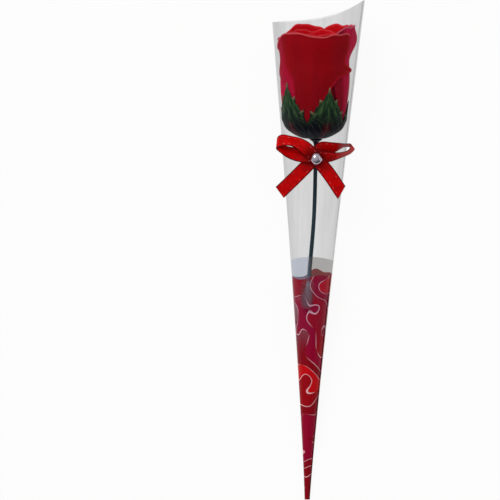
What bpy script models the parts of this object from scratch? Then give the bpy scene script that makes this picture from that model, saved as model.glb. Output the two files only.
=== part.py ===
"""A crepe paper rose on a stem, in a clear tapered sleeve tied with a ribbon bow.

The wrapped rose lies on its back, as it comes to rest on a table. +Y runs from the
sleeve's narrow tip to its open mouth, +Z is up and X runs across. The origin is on
the flat strip along the sleeve's underside, halfway along its length. The rose is
modelled upright in its own frame, with +Z along its axis and its front towards -Y,
and one empty lays it into the sleeve. Lengths are in metres and angles in degrees.
"""

import math
from dataclasses import dataclass

import bmesh
import bpy
import numpy as np
from mathutils import Matrix, Vector

# Left between pieces that touch
GAP = 0.0003

# Flower head: radius of the cup's body and height of the tallest petal
HEAD_RADIUS = 0.0281
HEAD_SIDE = -0.0004
HEAD_HEIGHT = 0.0846
HEAD_DEPTH_RATIO = 0.86
PETAL_THICKNESS = 0.00035
CALYX_THICKNESS = 0.0005
BOWL_HEIGHT = 0.0125

# Steps of the pieces that are turned about an axis
TURN_STEPS = 24

# Profiles of the head from its base to above its rim, as shares of its radius and height
OUTER_PROFILE = (
    (0.427, 0.043),
    (0.675, 0.088),
    (0.835, 0.154),
    (0.878, 0.236),
    (0.935, 0.355),
    (0.968, 0.473),
    (0.970, 0.591),
    (0.953, 0.674),
    (0.985, 0.757),
    (1.045, 0.830),
    (1.078, 0.890),
    (1.095, 0.950),
    (1.105, 1.020),
)
INNER_PROFILE = (
    (0.115, 0.110),
    (0.190, 0.165),
    (0.246, 0.284),
    (0.270, 0.450),
    (0.250, 0.615),
    (0.190, 0.757),
    (0.125, 0.880),
    (0.085, 1.020),
)

# Stem, with a funnel under the calyx and a flared foot
STEM_LENGTH = 0.1262
STEM_RADIUS = 0.00150
# Share of the way down the stem, and how far to the right of the sleeve's middle it runs
STEM_COURSE = (
    (0.0, HEAD_SIDE),
    (0.15, 0.0008),
    (0.46, 0.0004),
    (0.64, -0.0007),
    (0.74, -0.0013),
    (1.0, -0.0030),
)
STEM_POINTS = 11
PEG_RADIUS = 0.0014
PEG_HEIGHT = 0.0040
PEG_BLEND = 0.00002
# Distance below the calyx and radius down the funnel, and the same above the foot's end
FUNNEL_STEPS = ((0.0, 0.0048), (0.00125, 0.0035), (0.0030, 0.0019), (0.0050, STEM_RADIUS))
FOOT_STEPS = (
    (0.0190, STEM_RADIUS),
    (0.0150, 0.0021),
    (0.0112, 0.0036),
    (0.0080, 0.0047),
    (0.0, 0.0050),
)

# Sleeve of clear film
SLEEVE_LENGTH = 0.3720
SLEEVE_TIP_HALF_WIDTH = 0.0017
# Room between the head and the film, at the petals' rims and down the head's sides
RIM_EASE = 0.0019
SIDE_EASE = 0.0012
SLEEVE_FLARE = 1.16
SLEEVE_DEPTH_RATIO = 0.94
SLEEVE_SETTLE = 0.97
SECTION_POWER = 1.12
FILM = 0.00025
LAP_START = 8.0
LAP_END = 20.0
# Angles of the film's columns clear of the lap, and how far each one after them is lapped
WALL_ANGLES = range(30, 343, 12)
LAP_RISE = ((350.0, 0.0), (357.0, 0.5), (364.0, 1.0))
SLEEVE_ROWS = 12
# The film's flats stand inside its true curve by up to this much
FLAT_ALLOWANCE = 0.00016
RIM_SLOPE_RISE = 0.0040
RIM_CORNER_RISE = 0.0139
RIM_CORNER_POWER = 3.6
HEAD_BELOW_RIM = 0.0008

# Ribbon bow and its bead
RIBBON_WIDTH = 0.0102
RIBBON_THICKNESS = 0.00035
BOW_ABOVE_HEAD_BASE = -0.0148
BOW_SIDE = 0.0018
TAIL_DROOP = 0.0030
LEFT_TAIL_SLANT = 0.0009
RIGHT_TAIL_SLANT = -0.0024
BEAD_RADIUS = 0.0046
BEAD_HEIGHT = 0.0042
BEAD_SKIRT = 0.12
BEAD_FOOT_RADIUS = 0.0043
BEAD_POINTS = 7
# The ribbon banks up by this much under the bead's edge
BEAD_LIFT = 0.00036

# Name, colour, roughness, metallic and alpha of each material
MATERIALS = {
    "petal": ("petal_paper", (0.30, 0.002, 0.004), 0.75, 0.0, 1.0),
    "bud": ("bud_paper", (0.42, 0.003, 0.006), 0.75, 0.0, 1.0),
    "calyx": ("calyx_green", (0.012, 0.045, 0.014), 0.5, 0.0, 1.0),
    "stem": ("stem_plastic", (0.010, 0.028, 0.032), 0.45, 0.0, 1.0),
    "sleeve": ("clear_film", (0.85, 0.85, 0.88), 0.1, 0.0, 0.3),
    "ribbon": ("satin_ribbon", (0.45, 0.004, 0.006), 0.4, 0.0, 1.0),
    "bead": ("silver_bead", (0.80, 0.80, 0.82), 0.15, 1.0, 1.0),
}


@dataclass(frozen=True)
class Petal:
    """A petal: its direction, its layer from 0 at the bud to 1 outside, and its size.

    Its rise is the height of its rim as a share of the head's height. Its rim may flare
    out from one place on, a lobe swells its right edge and a wing widens it to the left
    under the rim. The sweep turns its middle aside on the way up.
    """

    angle: float
    layer: float
    rise: float
    half_width: float
    corner_drop: float = 0.13
    corner_power: int = 4
    flare: float = 0.0
    flare_from: float = -1.0
    lobe: float = 0.0
    wing: float = 0.0
    wing_drop: float = 0.0
    columns: int = 10
    rows: int = 9
    sweep: tuple = ((0.0, 0.0), (0.5, 0.0), (1.0, 0.0))


@dataclass(frozen=True)
class Sepal:
    """A sepal: the direction of its tip, its rise up the head, and its layer."""

    angle: float
    rise: float
    layer: float


# Outer whorl: front, right, left and two at the back, then two whorls inside it
PETALS = (
    Petal(-90, 0.966, 0.925, 61, 0.02, 4, 0.0004, -1.0, 21, 26, 0.09, 14, 15,
          ((0.0, -10.0), (0.3, -18.0), (0.5, -12.0), (0.66, -2.0), (1.0, 0.0))),
    Petal(-8, 0.918, 0.957, 60, 0.10, 4, 0.0010, -0.10),
    Petal(182, 0.920, 0.885, 62, 0.12),
    Petal(50, 0.870, 0.995, 58, 0.17, 2),
    Petal(118, 0.823, 0.985, 62, 0.17, 2),
    Petal(-50, 0.775, 0.946, 66),
    Petal(94, 0.730, 0.952, 66),
    Petal(-122, 0.685, 0.940, 66),
    Petal(22, 0.640, 0.934, 66),
    Petal(166, 0.595, 0.940, 66),
    Petal(-100, 0.500, 0.922, 74),
    Petal(44, 0.450, 0.916, 74),
    Petal(188, 0.400, 0.910, 76),
    Petal(-28, 0.350, 0.904, 78),
)
PETAL_WIDTHS = ((0.0, 0.17), (0.3, 0.36), (0.5, 0.60), (0.67, 0.86), (0.84, 1.0), (1.0, 0.95))
LOBE_AT = 0.66
LOBE_SPREAD = 0.045
WING_FROM = 0.62
WING_EASE = 0.20
NOTCH = 0.0012
NOTCH_SPREAD = 0.3
FLARE_START = 0.72
FLARE_EASE = 0.3

# The rolled bud in the middle
BUD_TURNS = 2.6
BUD_LAYERS = (0.0, 0.17)
BUD_HEIGHT = 0.0745
BUD_COLUMNS = 44
BUD_ROWS = 6

# Bowl under the sepals: shares of the head's radius and of the bowl's height
CALYX_BOWL = ((0.31, 0.03), (0.53, 0.24), (0.752, 0.62))
# Receptacle: its top as shares of its shoulder's radius, then how many clearances its
# lower corners stand in from and above the bowl, and its foot above the bowl's floor
RECEPTACLE_TOP = ((0.0, 0.3), (0.6, 0.2))
RECEPTACLE_CORNERS = ((3.2, 0.2), (0.0, 1.3))
RECEPTACLE_FOOT = 1.5

SEPALS = (
    Sepal(-140, 0.500, 1.01),
    Sepal(-66, 0.467, 1.01),
    Sepal(12, 0.331, 0.995),
    Sepal(80, 0.414, 0.93),
    Sepal(148, 0.390, 0.97),
)
# Rows up a sepal: share of its height, share of its width, and whether side teeth stand there
SEPAL_ROWS = (
    (0.14, 0.87, False),
    (0.25, 0.75, True),
    (0.33, 0.63, False),
    (0.46, 0.50, False),
    (0.58, 0.41, True),
    (0.67, 0.30, False),
    (0.84, 0.14, False),
    (1.00, 0.02, False),
)
SEPAL_COLUMNS = 6
TOOTH_ANGLE = 6.0
TOOTH_RISE = 0.0032

# The ribbon's course: right, up, its layer in the knot, its bank, and the way its edge faces
RIBBON_COURSE = (
    (-0.0267, -0.0270, 0, 0, 137),
    (-0.0134, -0.0130, 0, 0, 135),
    (-0.0030, -0.0015, 0, 0, 130),
    (0.0037, 0.0050, 0, 0, 118),
    (0.0119, 0.0083, 0, 28, 108),
    (0.0208, 0.0098, 0, 66, 104),
    (0.0268, 0.0076, 0.5, 70, 104),
    (0.0245, 0.0038, 1, 69, 104),
    (0.0180, 0.0016, 1, 62, 104),
    (0.0097, 0.0010, 1, 24, 100),
    (0.0000, 0.0008, 1, 0, 92),
    (-0.0097, 0.0022, 1, -14, 80),
    (-0.0178, 0.0040, 1, -42, 74),
    (-0.0245, 0.0064, 1.3, -60, 72),
    (-0.0279, 0.0102, 1.6, -62, 72),
    (-0.0250, 0.0125, 2, -58, 72),
    (-0.0178, 0.0117, 2, -36, 66),
    (-0.0097, 0.0081, 2, -10, 54),
    (-0.0030, 0.0015, 2, 0, 40),
    (0.0074, -0.0089, 2, 0, 37),
    (0.0192, -0.0258, 2, 0, 37),
)
RIBBON_STEPS = 3
HEADING_STEP = 0.002

TIP_Y = -SLEEVE_LENGTH / 2
HOLE_RADIUS = (PEG_RADIUS + GAP) / HEAD_DEPTH_RATIO
RIM_LOW_Y = SLEEVE_LENGTH / 2 - RIM_SLOPE_RISE - RIM_CORNER_RISE
HEAD_BASE_Y = RIM_LOW_Y - HEAD_BELOW_RIM - HEAD_HEIGHT


def smooth_through(at, knots, values):
    """Value at a place on the smooth curve that passes through the values at the knots."""
    knots = np.asarray(knots, float)
    values = np.asarray(values, float)
    slopes = np.gradient(values, knots, axis=0)
    at = min(max(at, knots[0]), knots[-1])
    i = min(int(np.searchsorted(knots, at, side="right")) - 1, len(knots) - 2)
    step = knots[i + 1] - knots[i]
    s = (at - knots[i]) / step
    ends = (1 + 2 * s) * (1 - s) ** 2 * values[i] + s * s * (3 - 2 * s) * values[i + 1]
    bends = s * (1 - s) ** 2 * slopes[i] - s * s * (1 - s) * slopes[i + 1]
    return ends + step * bends


def chord_knots(points):
    """Shares of the way along a run of points, from 0 to 1."""
    steps = np.linalg.norm(np.diff(np.asarray(points, float), axis=0), axis=1)
    along = np.concatenate([[0.0], np.cumsum(steps)])
    return along / along[-1]


def smooth_step(value):
    """0 below 0, 1 above 1, and an even ease between."""
    value = min(max(value, 0.0), 1.0)
    return value * value * (3 - 2 * value)


# Head surfaces: every petal follows one layer of a family that never crosses itself


HEAD_SIZE = np.array((HEAD_RADIUS, HEAD_HEIGHT))
OUTER_POINTS = np.array(OUTER_PROFILE) * HEAD_SIZE
INNER_POINTS = np.array(INNER_PROFILE) * HEAD_SIZE
OUTER_KNOTS = chord_knots(OUTER_POINTS)
INNER_KNOTS = chord_knots(INNER_POINTS)
PROFILE_SHARES = np.linspace(0.0, 1.0, 121)
OUTER_CURVE = np.array([smooth_through(t, OUTER_KNOTS, OUTER_POINTS) for t in PROFILE_SHARES])
INNER_CURVE = np.array([smooth_through(t, INNER_KNOTS, INNER_POINTS) for t in PROFILE_SHARES])


def head_profile(share, layer):
    """Radius and height on a layer of the head, at a share of the way up it."""
    curve = INNER_CURVE + layer * (OUTER_CURVE - INNER_CURVE)
    return (
        float(np.interp(share, PROFILE_SHARES, curve[:, 0])),
        float(np.interp(share, PROFILE_SHARES, curve[:, 1])),
    )


def share_at(height, layer):
    """How far up a layer of the head it reaches a height."""
    curve = INNER_CURVE + layer * (OUTER_CURVE - INNER_CURVE)
    return float(np.interp(height, curve[:, 1], PROFILE_SHARES))


def around(radius, angle, height):
    """Point of the head at a radius and direction, with the head's depth pressed in."""
    turn = math.radians(angle)
    return Vector(
        (radius * math.cos(turn), radius * math.sin(turn) * HEAD_DEPTH_RATIO, height)
    )


# Sleeve surfaces


def mouth_half_width_round(radius, height, ease):
    """Half-width at the sleeve's far end that leaves an ease round one ring of the head."""
    share = (HEAD_BASE_Y + height - TIP_Y) / SLEEVE_LENGTH
    return SLEEVE_TIP_HALF_WIDTH + (radius + ease - SLEEVE_TIP_HALF_WIDTH) / share**SLEEVE_FLARE


def sleeve_mouth_half_width():
    """Half-width at the sleeve's far end that clears the whole head."""
    rims = [head_profile(share_at(p.rise * HEAD_HEIGHT, p.layer), p.layer) for p in PETALS[:2]]
    sides = OUTER_CURVE[OUTER_CURVE[:, 1] < min(height for _, height in rims)]
    return max(
        [mouth_half_width_round(radius, height, RIM_EASE) for radius, height in rims]
        + [mouth_half_width_round(radius, height, SIDE_EASE) for radius, height in sides]
    )


SLEEVE_MOUTH_HALF_WIDTH = sleeve_mouth_half_width()


def sleeve_half_width(y):
    """Half-width of the sleeve's section at a place along it."""
    share = max(y - TIP_Y, 0.0) / SLEEVE_LENGTH
    spread = SLEEVE_MOUTH_HALF_WIDTH - SLEEVE_TIP_HALF_WIDTH
    return SLEEVE_TIP_HALF_WIDTH + spread * share**SLEEVE_FLARE


def sleeve_centre_height(y):
    """Height of the middle of the sleeve's section above the table."""
    return SLEEVE_SETTLE * SLEEVE_DEPTH_RATIO * sleeve_half_width(y)


def sleeve_top(y):
    """Height of the sleeve's highest line."""
    return sleeve_centre_height(y) + SLEEVE_DEPTH_RATIO * sleeve_half_width(y)


def section_point(y, angle, out):
    """Point of the film's outer face, moved out by a distance where the film laps."""
    turn = math.radians(angle)
    half_width = sleeve_half_width(y)
    half_depth = SLEEVE_DEPTH_RATIO * half_width
    rise = math.copysign(abs(math.sin(turn)) ** SECTION_POWER, math.sin(turn))
    height = sleeve_centre_height(y) + (half_depth + out) * rise
    return Vector(((half_width + out) * math.cos(turn), y, max(height, 0.0)))


def rim_y(angle):
    """Where the film ends: a slant that sweeps up into the corner at the lap."""
    across = (1 + math.cos(math.radians(angle))) / 2
    return RIM_LOW_Y + RIM_SLOPE_RISE * across + RIM_CORNER_RISE * across**RIM_CORNER_POWER


def height_on_film(points):
    """How far points have to be lifted to lie one gap clear of the film's lower wall."""
    lift = -1.0
    for x, y, z in points:
        half_width = sleeve_half_width(y) - FILM - GAP - FLAT_ALLOWANCE
        half_depth = SLEEVE_DEPTH_RATIO * sleeve_half_width(y) - FILM - GAP - FLAT_ALLOWANCE
        across = 1 - min(abs(x) / half_width, 1.0) ** 2
        wall = sleeve_centre_height(y) - half_depth * across ** (SECTION_POWER / 2)
        lift = max(lift, max(wall, FILM + GAP) - z)
    return lift


# Scene helpers


def clear_scene():
    """Removes every object that is in the scene."""
    for thing in list(bpy.data.objects):
        bpy.data.objects.remove(thing, do_unlink=True)


def new_collection(name):
    """A collection linked to the scene."""
    collection = bpy.data.collections.new(name)
    bpy.context.scene.collection.children.link(collection)
    return collection


def new_material(name, colour, roughness, metallic, alpha):
    """A Principled material with one colour."""
    material = bpy.data.materials.new(name)
    material.use_nodes = True
    shader = material.node_tree.nodes["Principled BSDF"]
    shader.inputs["Base Color"].default_value = (*colour, 1.0)
    shader.inputs["Roughness"].default_value = roughness
    shader.inputs["Metallic"].default_value = metallic
    shader.inputs["Alpha"].default_value = alpha
    return material


def new_object(name, data, material, parent=None):
    """An object in the rose's collection, with its material and its parent."""
    thing = bpy.data.objects.new(name, data)
    thing.data.materials.append(material)
    thing.parent = parent
    bpy.data.collections["crepe_paper_rose"].objects.link(thing)
    return thing


def new_axis(name, matrix):
    """An empty that carries the pieces of one group."""
    axis = bpy.data.objects.new(name, None)
    axis.matrix_world = matrix
    bpy.data.collections["crepe_paper_rose"].objects.link(axis)
    return axis


def finish_sheet(bm, mesh):
    """Splits a sheet's quads along their shorter diagonals, which follow it closest."""
    bmesh.ops.triangulate(bm, faces=bm.faces, quad_method="SHORT_EDGE")
    bm.to_mesh(mesh)
    bm.free()
    mesh.shade_smooth()


def grid_mesh(name, rows):
    """A sheet whose faces join rows of points; it faces out where rows run up and round."""
    mesh = bpy.data.meshes.new(name)
    bm = bmesh.new()
    lines = [[bm.verts.new(point) for point in row] for row in rows]
    for low, high in zip(lines, lines[1:]):
        for i in range(len(low) - 1):
            bm.faces.new((low[i], low[i + 1], high[i + 1], high[i]))
    finish_sheet(bm, mesh)
    return mesh


def thicken(thing, thickness, offset):
    """Gives a sheet its thickness."""
    shell = thing.modifiers.new("thickness", "SOLIDIFY")
    shell.thickness = thickness
    shell.offset = offset
    shell.use_even_offset = True


def turned(name, profile, material, parent):
    """A solid turned about Z from a profile that runs down its outer side."""
    mesh = bpy.data.meshes.new(name)
    edges = [(i, i + 1) for i in range(len(profile) - 1)]
    mesh.from_pydata([(radius, 0.0, height) for radius, height in profile], edges, [])
    thing = new_object(name, mesh, material, parent)
    screw = thing.modifiers.new("turn", "SCREW")
    screw.steps = TURN_STEPS
    screw.render_steps = TURN_STEPS
    screw.use_merge_vertices = True
    screw.merge_threshold = 0.00001
    return thing


# Rose


def petal_rows(petal):
    """Rows of points of a petal, from its claw to its rim."""
    knots, widths = zip(*PETAL_WIDTHS)
    sweep_knots, sweeps = zip(*petal.sweep)
    top = petal.rise * HEAD_HEIGHT
    rim = []
    for column in range(petal.columns + 1):
        across = 2 * column / petal.columns - 1
        corner = petal.wing_drop if petal.wing and across < 0 else petal.corner_drop
        drop = corner * top * abs(across) ** petal.corner_power
        notch = NOTCH * math.exp(-((across / NOTCH_SPREAD) ** 2))
        rim.append(share_at(top - drop - notch, petal.layer))
    rows = []
    for row in range(petal.rows + 1):
        up = row / petal.rows
        half_width = petal.half_width * smooth_through(up, knots, widths)
        middle = petal.angle + smooth_through(up, sweep_knots, sweeps)
        lobe = petal.lobe * math.exp(-(((up - LOBE_AT) / LOBE_SPREAD) ** 2))
        wing = petal.wing * smooth_step((up - WING_FROM) / WING_EASE)
        line = []
        for column in range(petal.columns + 1):
            across = 2 * column / petal.columns - 1
            radius, height = head_profile(up * rim[column], petal.layer)
            opening = smooth_step((across - petal.flare_from) / FLARE_EASE)
            opening *= smooth_step((up - FLARE_START) / (1 - FLARE_START))
            radius += petal.flare * opening
            angle = middle + half_width * across + lobe * max(across, 0.0) ** 3
            angle += wing * min(across, 0.0)
            line.append(around(radius, angle, height))
        rows.append(line)
    return rows


def bud_rows():
    """Rows of points of the bud, one petal rolled up on itself."""
    top = share_at(BUD_HEIGHT, 0.0)
    first, last = BUD_LAYERS
    rows = []
    for row in range(BUD_ROWS + 1):
        line = []
        for column in range(BUD_COLUMNS + 1):
            turn = column / BUD_COLUMNS
            layer = first + (last - first) * turn
            radius, height = head_profile(top * row / BUD_ROWS, layer)
            line.append(around(radius, 360 * BUD_TURNS * turn, height))
        rows.append(line)
    return rows


def calyx_bowl_profile():
    """Radius and height up the bowl under the sepals, from the hole for the stem."""
    middle = [(across * HEAD_RADIUS, up * BOWL_HEIGHT) for across, up in CALYX_BOWL]
    top = head_profile(share_at(BOWL_HEIGHT, SEPALS[0].layer), SEPALS[0].layer)
    return [(HOLE_RADIUS, 0.0), *middle, top]


def sepal_borders():
    """Directions of the notches between the sepals, one before each sepal and a last one."""
    angles = [sepal.angle for sepal in SEPALS]
    middles = [(a + b) / 2 for a, b in zip(angles, angles[1:])]
    closing = (angles[-1] + angles[0] + 360) / 2
    return [closing - 360, *middles, closing]


def calyx_mesh():
    """The calyx: a bowl that ends in toothed sepals, as one sheet."""
    mesh = bpy.data.meshes.new("calyx")
    bm = bmesh.new()
    borders = sepal_borders()
    columns = []
    for left, right in zip(borders, borders[1:]):
        columns += [left + (right - left) * i / SEPAL_COLUMNS for i in range(SEPAL_COLUMNS)]
    rings = [
        [bm.verts.new(around(radius, angle, height)) for angle in columns]
        for radius, height in calyx_bowl_profile()
    ]
    count = len(columns)
    for low, high in zip(rings, rings[1:]):
        for i in range(count):
            after = (i + 1) % count
            bm.faces.new((low[i], low[after], high[after], high[i]))
    for index, sepal in enumerate(SEPALS):
        left, right = borders[index], borders[index + 1]
        start = index * SEPAL_COLUMNS
        low = [rings[-1][(start + i) % count] for i in range(SEPAL_COLUMNS + 1)]
        for up, width, toothed in SEPAL_ROWS:
            high = []
            for i in range(SEPAL_COLUMNS + 1):
                border = left + (right - left) * i / SEPAL_COLUMNS
                angle = sepal.angle + (border - sepal.angle) * width
                height = BOWL_HEIGHT + (sepal.rise * HEAD_HEIGHT - BOWL_HEIGHT) * up
                if toothed and i in (0, SEPAL_COLUMNS):
                    angle += math.copysign(TOOTH_ANGLE, border - sepal.angle)
                    height += TOOTH_RISE
                layer = SEPALS[0].layer + (sepal.layer - SEPALS[0].layer) * smooth_step(2 * up)
                radius, height = head_profile(share_at(height, layer), layer)
                high.append(bm.verts.new(around(radius, angle, height)))
            for i in range(SEPAL_COLUMNS):
                bm.faces.new((low[i], low[i + 1], high[i + 1], high[i]))
            low = high
    finish_sheet(bm, mesh)
    return mesh


def receptacle_profile():
    """Profile of the cone that the petals stand on, with a blind hole for the stem's peg."""
    inner_base = Vector(head_profile(0.0, 0.0))
    outer_base = Vector(head_profile(0.0, 1.0))
    slope = (outer_base - inner_base).normalized()
    down = Vector((slope.y, -slope.x)) * (GAP + PETAL_THICKNESS / 4)
    shoulder = inner_base + down
    edge = outer_base + down
    clearance = CALYX_THICKNESS / 2 + GAP
    top = [(across * shoulder.x, shoulder.y + up * shoulder.x) for across, up in RECEPTACLE_TOP]
    bowl = calyx_bowl_profile()
    corners = [
        (radius - inward * clearance, height + up * clearance)
        for (radius, height), (inward, up) in zip((bowl[2], bowl[1]), RECEPTACLE_CORNERS)
    ]
    return (
        *top,
        (shoulder.x, shoulder.y),
        (edge.x, edge.y),
        *corners,
        (HOLE_RADIUS, RECEPTACLE_FOOT * clearance),
        (HOLE_RADIUS, PEG_HEIGHT + GAP),
        (0.0, PEG_HEIGHT + GAP),
    )


def rose_matrix(points):
    """Placing of the rose's axis: along the sleeve's middle, with its back on the film."""
    top_y = HEAD_BASE_Y + HEAD_HEIGHT
    rise = sleeve_centre_height(top_y) - sleeve_centre_height(HEAD_BASE_Y)
    tilt = math.atan2(rise, HEAD_HEIGHT)
    placing = Matrix.Translation((HEAD_SIDE, HEAD_BASE_Y, sleeve_centre_height(HEAD_BASE_Y)))
    placing = placing @ Matrix.Rotation(tilt - math.pi / 2, 4, "X")
    lift = height_on_film([placing @ point for point in points])
    return Matrix.Translation((0.0, 0.0, lift)) @ placing


def build_rose(materials):
    """The flower head on its axis. Returns the axis's placing."""
    petals = [petal_rows(petal) for petal in PETALS]
    bud = bud_rows()
    calyx = calyx_mesh()
    outside = [point for rows in petals[:5] for row in rows for point in row]
    shell = [
        vertex.co + vertex.normal * CALYX_THICKNESS / 2 for vertex in calyx.vertices
    ]
    placing = rose_matrix(outside + shell)
    axis = new_axis("rose_axis", placing)
    for index, rows in enumerate(petals):
        name = f"petal_{index + 1:02d}"
        thing = new_object(name, grid_mesh(name, rows), materials["petal"], axis)
        thicken(thing, PETAL_THICKNESS, 0.0)
    thing = new_object("bud", grid_mesh("bud", bud), materials["bud"], axis)
    thicken(thing, PETAL_THICKNESS, 0.0)
    thing = new_object("calyx", calyx, materials["calyx"], axis)
    thicken(thing, CALYX_THICKNESS, 0.0)
    cone = turned("receptacle", receptacle_profile(), materials["calyx"], axis)
    cone.scale.y = HEAD_DEPTH_RATIO
    return placing


# Stem


def build_stem(placing, material):
    """The stem: a peg into the calyx, a funnel under it, a bent shaft and a flared foot."""
    axis = (placing.to_3x3() @ Vector((0.0, 0.0, 1.0))).normalized()
    base = placing.to_translation()
    funnel_top = base - axis * (CALYX_THICKNESS / 2 + GAP)
    start = funnel_top - axis * FUNNEL_STEPS[-1][0]
    foot_y = base.y - STEM_LENGTH
    foot_x = STEM_COURSE[-1][1]
    foot_radius = FOOT_STEPS[-1][1]
    rim = [
        Vector((foot_x + foot_radius * math.cos(a), foot_y, foot_radius * math.sin(a)))
        for a in np.linspace(math.pi, 2 * math.pi, TURN_STEPS)
    ]
    end = Vector((foot_x, foot_y, height_on_film(rim)))
    bend = start - axis * (STEM_LENGTH / 2)
    points = [
        (base + axis * PEG_HEIGHT, PEG_RADIUS),
        (funnel_top + axis * PEG_BLEND, PEG_RADIUS),
    ]
    points += [(funnel_top - axis * down, radius) for down, radius in FUNNEL_STEPS[:-1]]
    foot_share = 1 - FOOT_STEPS[0][0] / STEM_LENGTH
    stem_shares, sides = zip(*STEM_COURSE)
    for share in np.linspace(0.0, foot_share, STEM_POINTS):
        point = start * (1 - share) ** 2 + bend * 2 * share * (1 - share) + end * share**2
        point.x = smooth_through(share, stem_shares, sides)
        points.append((point, STEM_RADIUS))
    heading = (end - points[-1][0]).normalized()
    points += [(end - heading * up, radius) for up, radius in FOOT_STEPS[1:]]
    curve = bpy.data.curves.new("stem", "CURVE")
    curve.dimensions = "3D"
    curve.bevel_depth = STEM_RADIUS
    curve.bevel_resolution = 2
    curve.use_fill_caps = True
    spline = curve.splines.new("POLY")
    spline.points.add(len(points) - 1)
    for spot, (place, radius) in zip(spline.points, points):
        spot.co = (*place, 1.0)
        spot.radius = radius / STEM_RADIUS
    new_object("stem", curve, material)


# Sleeve


def build_sleeve(material):
    """The sleeve: one sheet of film rolled round the rose, with its edges lapped."""
    lap_out = FILM + GAP
    lapped = (LAP_START, (LAP_START + LAP_END) / 2, LAP_END)
    columns = [(angle, 0.0) for angle in lapped]
    columns += [(angle, 0.0) for angle in WALL_ANGLES]
    columns += [(angle, rise * lap_out) for angle, rise in LAP_RISE]
    columns += [(360 + angle, lap_out) for angle in lapped[1:]]
    rows = []
    for up in np.linspace(0.0, 1.0, SLEEVE_ROWS + 1):
        row = []
        for angle, out in columns:
            y = TIP_Y + (rim_y(angle) - TIP_Y) * up
            row.append(section_point(y, angle, out))
        rows.append(list(reversed(row)))
    thing = new_object("sleeve", grid_mesh("sleeve", rows), material)
    thicken(thing, FILM, -1.0)


# Bow


def ribbon_rows():
    """Rows of three points across the ribbon, along its whole course."""
    course = np.array(RIBBON_COURSE)
    knots = chord_knots(course[:, :2])
    count = RIBBON_STEPS * (len(course) - 1)
    pitch = RIBBON_THICKNESS + GAP
    half = RIBBON_WIDTH / 2
    reach = np.linalg.norm(course[0, :2])
    rows = []
    for step in range(count + 1):
        share = step / count
        right, up, layer, bank, facing = smooth_through(share, knots, course)
        before = smooth_through(share - HEADING_STEP, knots, course)
        after = smooth_through(share + HEADING_STEP, knots, course)
        forward = Vector((after - before)[:2]).normalized()
        turn, tilt = math.radians(facing), math.radians(bank)
        edge = Vector((math.cos(tilt) * math.cos(turn), math.cos(tilt) * math.sin(turn)))
        on_tail = share < knots[2] or share > knots[-3]
        droop = TAIL_DROOP * (math.hypot(right, up) / reach) ** 2 if on_tail else 0.0
        height = RIBBON_THICKNESS / 2 + pitch * layer + half * abs(math.sin(tilt)) - droop
        slant = LEFT_TAIL_SLANT if step == 0 else RIGHT_TAIL_SLANT if step == count else 0.0
        row = []
        for side in (-1, 0, 1):
            flat = edge * side * half + forward * slant * side
            rise = side * half * math.sin(tilt)
            row.append(Vector((right + flat.x, up + flat.y, height + rise)))
        rows.append(row)
    return rows


def build_bow(materials):
    """The ribbon bow on top of the sleeve, and the half-round bead on its crossing."""
    y = HEAD_BASE_Y + BOW_ABOVE_HEAD_BASE
    slope = math.atan2(sleeve_top(y + GAP) - sleeve_top(y - GAP), 2 * GAP)
    placing = Matrix.Translation((BOW_SIDE, y, sleeve_top(y) + GAP))
    placing = placing @ Matrix.Rotation(slope, 4, "X")
    axis = new_axis("bow_axis", placing)
    ribbon = new_object("ribbon_bow", grid_mesh("ribbon_bow", ribbon_rows()),
                        materials["ribbon"], axis)
    thicken(ribbon, RIBBON_THICKNESS, 0.0)
    foot = 3 * (RIBBON_THICKNESS + GAP) + BEAD_LIFT
    skirt = foot + BEAD_SKIRT * BEAD_HEIGHT
    rise = BEAD_HEIGHT - BEAD_SKIRT * BEAD_HEIGHT
    dome = [
        (BEAD_RADIUS * math.sin(a), skirt + rise * math.cos(a))
        for a in np.linspace(0.0, math.pi / 2, BEAD_POINTS)
    ]
    turned("bead", (*dome, (BEAD_FOOT_RADIUS, foot), (0.0, foot)), materials["bead"], axis)


def main():
    """Builds the wrapped rose."""
    clear_scene()
    new_collection("crepe_paper_rose")
    materials = {slot: new_material(*values) for slot, values in MATERIALS.items()}
    placing = build_rose(materials)
    build_stem(placing, materials["stem"])
    build_sleeve(materials["sleeve"])
    build_bow(materials)
    bpy.context.view_layer.update()


main()
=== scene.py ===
"""Looks of a crepe paper rose on a stem, in a clear tapered sleeve with a ribbon bow.

The wrapped rose lies on its back: +Y runs from the sleeve's narrow tip to its mouth and
+Z is up. The rose is shaped in its own frame, with +Z along its axis and its front
towards -Y, and one placing lays it into the sleeve. Lengths are in metres, angles in
degrees.
"""

from __future__ import annotations

import logging
import math
from dataclasses import dataclass, field
from enum import Enum
from functools import partial
from typing import Any, Optional, Sequence

import bpy
import numpy as np
from mathutils import Matrix, Vector, noise

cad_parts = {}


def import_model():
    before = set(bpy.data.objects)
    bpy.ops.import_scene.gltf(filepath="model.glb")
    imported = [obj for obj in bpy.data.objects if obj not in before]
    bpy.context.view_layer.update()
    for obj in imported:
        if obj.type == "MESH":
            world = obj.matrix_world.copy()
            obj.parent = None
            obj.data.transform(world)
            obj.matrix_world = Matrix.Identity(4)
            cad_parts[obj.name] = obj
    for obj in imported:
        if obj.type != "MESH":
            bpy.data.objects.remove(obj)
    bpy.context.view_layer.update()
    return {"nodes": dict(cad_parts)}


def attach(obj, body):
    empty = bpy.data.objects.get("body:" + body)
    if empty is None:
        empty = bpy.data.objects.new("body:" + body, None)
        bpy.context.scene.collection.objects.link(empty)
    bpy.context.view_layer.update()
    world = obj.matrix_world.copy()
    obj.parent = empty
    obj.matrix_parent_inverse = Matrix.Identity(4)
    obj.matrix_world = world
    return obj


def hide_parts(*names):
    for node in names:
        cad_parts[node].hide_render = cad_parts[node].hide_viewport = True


LOG = logging.getLogger("crepe_paper_rose")

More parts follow.
